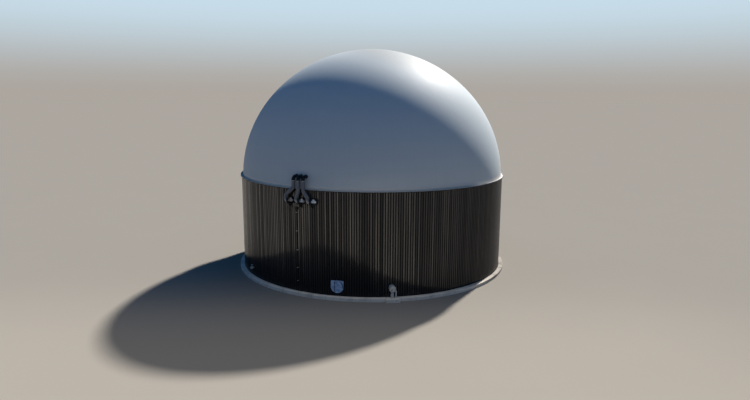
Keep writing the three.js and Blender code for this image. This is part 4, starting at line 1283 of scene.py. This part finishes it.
def side_pipe_shape():
    """The thinner pipe: level out of the tee's branch, a quarter circle down, and straight down to the slab,
    a little thicker at its welds and its foot."""
    bend, height, offset = 0.11, 0.9, 0.3
    run, drop = quarter_turn(bend, 14)
    level = np.linspace(0.1, offset - bend, 6)
    across = np.concatenate([level, offset - bend + run[1:], np.full(9, offset)])
    fall = np.linspace(height - bend, tank.slab_height + 0.001, 10)[1:]
    up = np.concatenate([np.full(6, height), height - drop[1:], fall])
    size = np.full(len(across), 0.068)
    size[[6, 18]] = 0.072
    size[-2:] = 0.07
    pipe = piped(np.stack([across, np.full_like(across, -PIPE_DISTANCE), up], axis=1), size, 28, OUT)
    foot = lathed([
        (0.001, 0), (0.001, 0.1), (0.012, 0.1), (0.014, 0.07), (0.014, 0),
    ], 32, (offset, -PIPE_DISTANCE, tank.slab_height))
    return (pipe + foot).turned(tank.outlet_azimuth)


def valve_shape():
    """A gate valve on a stub: waisted body, bonnet with bolts, stem, and a handwheel with five spokes."""
    height, face, wall = tank.valve_height, VALVE_FACE, tank.shell_radius
    seat = (0.0, -(face - 0.12), 0.0)
    stub = outward([
        (wall - 0.01, 0), (wall - 0.01, 0.11), (wall + 0.02, 0.11), (wall + 0.022, 0.065),
        (wall + 0.03, 0.055), (face - 0.245, 0.055), (face - 0.24, 0.1), (face - 0.215, 0.1),
        (face - 0.21, 0.06), (face - 0.045, 0.06), (face - 0.03, 0.07), (face - 0.03, 0.115),
        (face, 0.115), (face, 0.0),
    ], 32, height)
    body = lathed([
        (height - 0.108, 0), (height - 0.108, 0.05), (height - 0.09, 0.078), (height, 0.094),
        (height + 0.07, 0.078), (height + 0.076, 0.094), (height + 0.104, 0.094), (height + 0.108, 0.05),
        (height + 0.16, 0.03), (height + 0.17, 0.014), (height + 0.278, 0.014), (height + 0.28, 0.0),
    ], 28, seat)
    angle = round_angles(40)
    across, away = WHEEL_RADIUS * np.cos(angle), seat[1] + WHEEL_RADIUS * np.sin(angle)
    circle = np.stack([across, away, np.full_like(angle, height + 0.265)], axis=1)
    wheel = piped(circle, 0.011, 10, UP, None, True)
    hub = np.array([0.0, seat[1], height + 0.262])
    for spoke in round_angles(WHEEL_SPOKES):
        way = np.array([math.cos(spoke), math.sin(spoke), 0.0])
        wheel += piped(hub + np.linspace(0.008, 0.096, 4)[:, None] * way, 0.0065, 8, UP)
    face_bolts = bolt_ring((0, -face, height), OUT, 0.092, 8, 0.008, 0.01)
    bonnet_bolts = bolt_ring((0, seat[1], height + 0.104), UP, 0.08, 6, 0.006, 0.008)
    return (stub + body + wheel + face_bolts + bonnet_bolts).turned(tank.valve_azimuth)


# Operators, one for each piece or group of like pieces


CAMERA_LENS = 28.12
CAMERA_PLACE = (0.30, -58.0, 16.49)
CAMERA_TILT = math.radians(79.751)
CAMERA_ROLL = 0.0051
SUNWARD = (0.39, 0.647, 0.655)
FILL_PLACE = (-8.0, -32.0, 12.0)
FLOOR_LEVEL = -0.002
FLOOR_RINGS = (0.0, 30.0, 120.0, 1500.0)


def numbered(name, count):
    return [f"{name}_{index}" for index in range(1, count + 1)]


class DIGESTER_OT_camera(bpy.types.Operator):
    """Set the camera at the photograph's viewing angle"""

    bl_idname = "digester.camera"
    bl_label = "Camera"
    bl_options = {"REGISTER", "UNDO"}

    def execute(self, context):
        data = bpy.data.cameras.new("camera")
        data.lens, data.sensor_width, data.sensor_fit = CAMERA_LENS, 36.0, "HORIZONTAL"
        data.clip_start, data.clip_end = 0.5, 2000.0
        camera = add_object("camera", data)
        tilt, roll = Matrix.Rotation(CAMERA_TILT, 4, "X"), Matrix.Rotation(CAMERA_ROLL, 4, "Z")
        camera.matrix_world = Matrix.Translation(CAMERA_PLACE) @ tilt @ roll
        context.scene.camera = camera
        return {"FINISHED"}


class DIGESTER_OT_dome(bpy.types.Operator):
    """Make the membrane dome"""

    bl_idname = "digester.dome"
    bl_label = "Dome"
    bl_options = {"REGISTER", "UNDO"}

    def execute(self, context):
        gores = numbered("dome_gore", 6)
        make_piece("dome_membrane", dome_shape(), ["white_membrane"], [*gores, "dome_crown"])
        return {"FINISHED"}


class DIGESTER_OT_rim(bpy.types.Operator):
    """Make the rim flashing and the membrane's clamp bars"""

    bl_idname = "digester.rim"
    bl_label = "Rim"
    bl_options = {"REGISTER", "UNDO"}

    def execute(self, context):
        slots = ["galvanised", "zinc_bolts", "black_plastic"]
        make_piece("rim_flashing", rim_shape(), slots, numbered("rim_flashing", 4), crease=25)
        make_piece("membrane_clamp", clamp_shape(), slots[:2])
        return {"FINISHED"}


class DIGESTER_OT_cladding(bpy.types.Operator):
    """Make the ribbed cladding with its trims and screws"""

    bl_idname = "digester.cladding"
    bl_label = "Cladding"
    bl_options = {"REGISTER", "UNDO"}

    def execute(self, context):
        slots, nodes = ["black_sheet"], numbered("cladding", 6)
        make_piece("cladding_sheet", cladding_shape(), slots, nodes, crease=25, wall=SHEET)
        make_piece("opening_trim", opening_trim_shape(), slots)
        make_piece("foot_trim", foot_trim_shape(), slots)
        make_piece("cladding_screws", screw_shape(), ["black_paint"])
        return {"FINISHED"}


class DIGESTER_OT_wall(bpy.types.Operator):
    """Give the steel wall its enamel"""

    bl_idname = "digester.wall"
    bl_label = "Wall"
    bl_options = {"REGISTER", "UNDO"}

    def execute(self, context):
        for node in numbered("shell_wall", 4):
            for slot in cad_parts[node].material_slots:
                slot.material = finish("glass_lined_steel")
        return {"FINISHED"}


class DIGESTER_OT_slab(bpy.types.Operator):
    """Make the foundation slab and the pipe plinth"""

    bl_idname = "digester.slab"
    bl_label = "Slab"
    bl_options = {"REGISTER", "UNDO"}

    def execute(self, context):
        make_piece("slab", slab_shape(), ["concrete"], ["foundation_slab"])
        make_piece("plinth", plinth_shape(), ["concrete", "black_plastic"], ["pipe_plinth"], bevel=0.012)
        return {"FINISHED"}


class DIGESTER_OT_air_supply(bpy.types.Operator):
    """Make the elbows, hoses, blowers, motors and brackets"""

    bl_idname = "digester.air_supply"
    bl_label = "Air supply"
    bl_options = {"REGISTER", "UNDO"}

    def execute(self, context):
        for index, (elbow, foot, swing) in enumerate(air_lines(), 1):
            for name, shape, slot, node in (
                ("elbow", elbow_shape(elbow), "black_plastic", "dome_elbow"),
                ("hose", hose_shape(elbow, foot, swing), "grey_hose", "air_hose"),
                ("blower_housing", blower_shape(foot), "black_paint", "blower"),
                ("motor", motor_shape(foot), "motor_grey", "blower_motor"),
                ("bracket", bracket_shape(foot), "black_paint", "blower_bracket"),
            ):
                slots = [slot, "zinc_bolts", "black_paint"]
                make_piece(f"{name}_{index}", shape, slots, [f"{node}_{index}"])
        return {"FINISHED"}


class DIGESTER_OT_conduit(bpy.types.Operator):
    """Make the cable conduit"""

    bl_idname = "digester.conduit"
    bl_label = "Conduit"
    bl_options = {"REGISTER", "UNDO"}

    def execute(self, context):
        make_piece("conduit", conduit_shape(), ["black_plastic", "zinc_bolts"], ["cable_conduit"])
        return {"FINISHED"}


class DIGESTER_OT_manway(bpy.types.Operator):
    """Make the manway's neck, cover and film"""

    bl_idname = "digester.manway"
    bl_label = "Manway"
    bl_options = {"REGISTER", "UNDO"}

    def execute(self, context):
        slots = ["pipe_steel", "zinc_bolts", "black_paint"]
        make_piece("manway_flange", manway_neck_shape(), slots, ["manway_neck"])
        make_piece("manway_lid", manway_cover_shape(), ["pipe_steel"], ["manway_cover"])
        make_piece("manway_wrap", film_shape(), ["blue_film"], ["manway_film"], crease=60, wall=SHEET)
        return {"FINISHED"}


class DIGESTER_OT_outlet(bpy.types.Operator):
    """Make the outlet tee and its two pipes"""

    bl_idname = "digester.outlet"
    bl_label = "Outlet"
    bl_options = {"REGISTER", "UNDO"}

    def execute(self, context):
        slots = ["pipe_steel", "zinc_bolts", "black_plastic"]
        make_piece("tee", outlet_shape(), slots, ["outlet_tee"])
        make_piece("drain", drain_shape(), slots[:2], ["drain_pipe"])
        make_piece("side_line", side_pipe_shape(), slots[:1], ["side_pipe"])
        return {"FINISHED"}


class DIGESTER_OT_valve(bpy.types.Operator):
    """Make the sampling valve"""

    bl_idname = "digester.valve"
    bl_label = "Sampling valve"
    bl_options = {"REGISTER", "UNDO"}

    def execute(self, context):
        make_piece("gate_valve", valve_shape(), ["pipe_steel", "zinc_bolts"], ["sampling_valve"])
        return {"FINISHED"}


class DIGESTER_OT_stage(bpy.types.Operator):
    """Set up the pale floor, the sun-like lamp, the soft light from all round and the pale backdrop"""

    bl_idname = "digester.stage"
    bl_label = "Stage"
    bl_options = {"REGISTER", "UNDO"}

    def execute(self, context):
        rings = revolved([(reach, FLOOR_LEVEL) for reach in FLOOR_RINGS], 120, False)
        floor = make_object("studio_floor", rings, ["studio_floor"], closed=False)
        floor.data.flip_normals()
        key = bpy.data.lights.new("key", "SUN")
        key.energy, key.angle, key.color = 8.5, math.radians(3), (1.0, 0.95, 0.88)
        add_object("key", key).rotation_euler = Vector(SUNWARD).to_track_quat("Z", "Y").to_euler()
        fill = bpy.data.lights.new("front_fill", "AREA")
        fill.shape, fill.size, fill.size_y, fill.spread = "RECTANGLE", 70.0, 36.0, math.radians(110)
        fill.energy, fill.color = 3300.0, (1.0, 0.88, 0.68)
        panel = add_object("front_fill", fill)
        panel.location = FILL_PLACE
        panel.visible_camera = panel.visible_glossy = False
        context.scene.world = self.soft_light()
        context.scene.view_settings.view_transform = "Standard"
        return {"FINISHED"}

    def soft_light(self):
        """The backdrop that the camera sees is paler than the light that falls on the digester."""
        world = bpy.data.worlds.new("soft_light")
        world.use_nodes = True
        nodes = Nodes(world.node_tree, "Generated")
        rise = nodes.fade(nodes.along(2), 0.0, 0.15)
        backdrop = nodes.blend(rise, tuple(tints.backdrop_low), tuple(tints.backdrop_high))
        seen = nodes.node("ShaderNodeBackground", {}, (backdrop, 1.0))
        light = nodes.node("ShaderNodeBackground", {}, ((*tints.sky_light, 1.0), 1.0))
        camera_ray = nodes.node("ShaderNodeLightPath", {}, (), "Is Camera Ray")
        mixed = nodes.node("ShaderNodeMixShader", {}, (camera_ray, light, seen))
        nodes.node("ShaderNodeOutputWorld", {}, (mixed,), None)
        return world


PIECE_OPERATORS = (
    DIGESTER_OT_camera, DIGESTER_OT_dome, DIGESTER_OT_rim, DIGESTER_OT_cladding, DIGESTER_OT_wall,
    DIGESTER_OT_slab, DIGESTER_OT_air_supply, DIGESTER_OT_conduit, DIGESTER_OT_manway, DIGESTER_OT_outlet,
    DIGESTER_OT_valve, DIGESTER_OT_stage,
)


class DIGESTER_PT_panel(bpy.types.Panel):
    """Sizes, colours and pieces of the digester"""

    bl_label = "Biogas digester"
    bl_idname = "DIGESTER_PT_panel"
    bl_space_type = "VIEW_3D"
    bl_region_type = "UI"
    bl_category = "Digester"

    def draw(self, context):
        for operator in PIECE_OPERATORS:
            self.layout.operator(operator.bl_idname)
        for group in (context.scene.digester_sizes, context.scene.digester_colours):
            column = self.layout.column(align=True)
            for name in group.__annotations__:
                column.prop(group, name)


CLASSES = (DigesterSizes, DigesterColours, *PIECE_OPERATORS, DIGESTER_PT_panel)


def register():
    for kind in CLASSES:
        bpy.utils.register_class(kind)
    bpy.types.Scene.digester_sizes = PointerProperty(type=DigesterSizes)
    bpy.types.Scene.digester_colours = PointerProperty(type=DigesterColours)


def unregister():
    del bpy.types.Scene.digester_colours
    del bpy.types.Scene.digester_sizes
    for kind in reversed(CLASSES):
        bpy.utils.unregister_class(kind)


def main():
    register()
    for operator in PIECE_OPERATORS:
        group, name = operator.bl_idname.split(".")
        getattr(getattr(bpy.ops, group), name)()


if __name__ == "__main__":
    main()
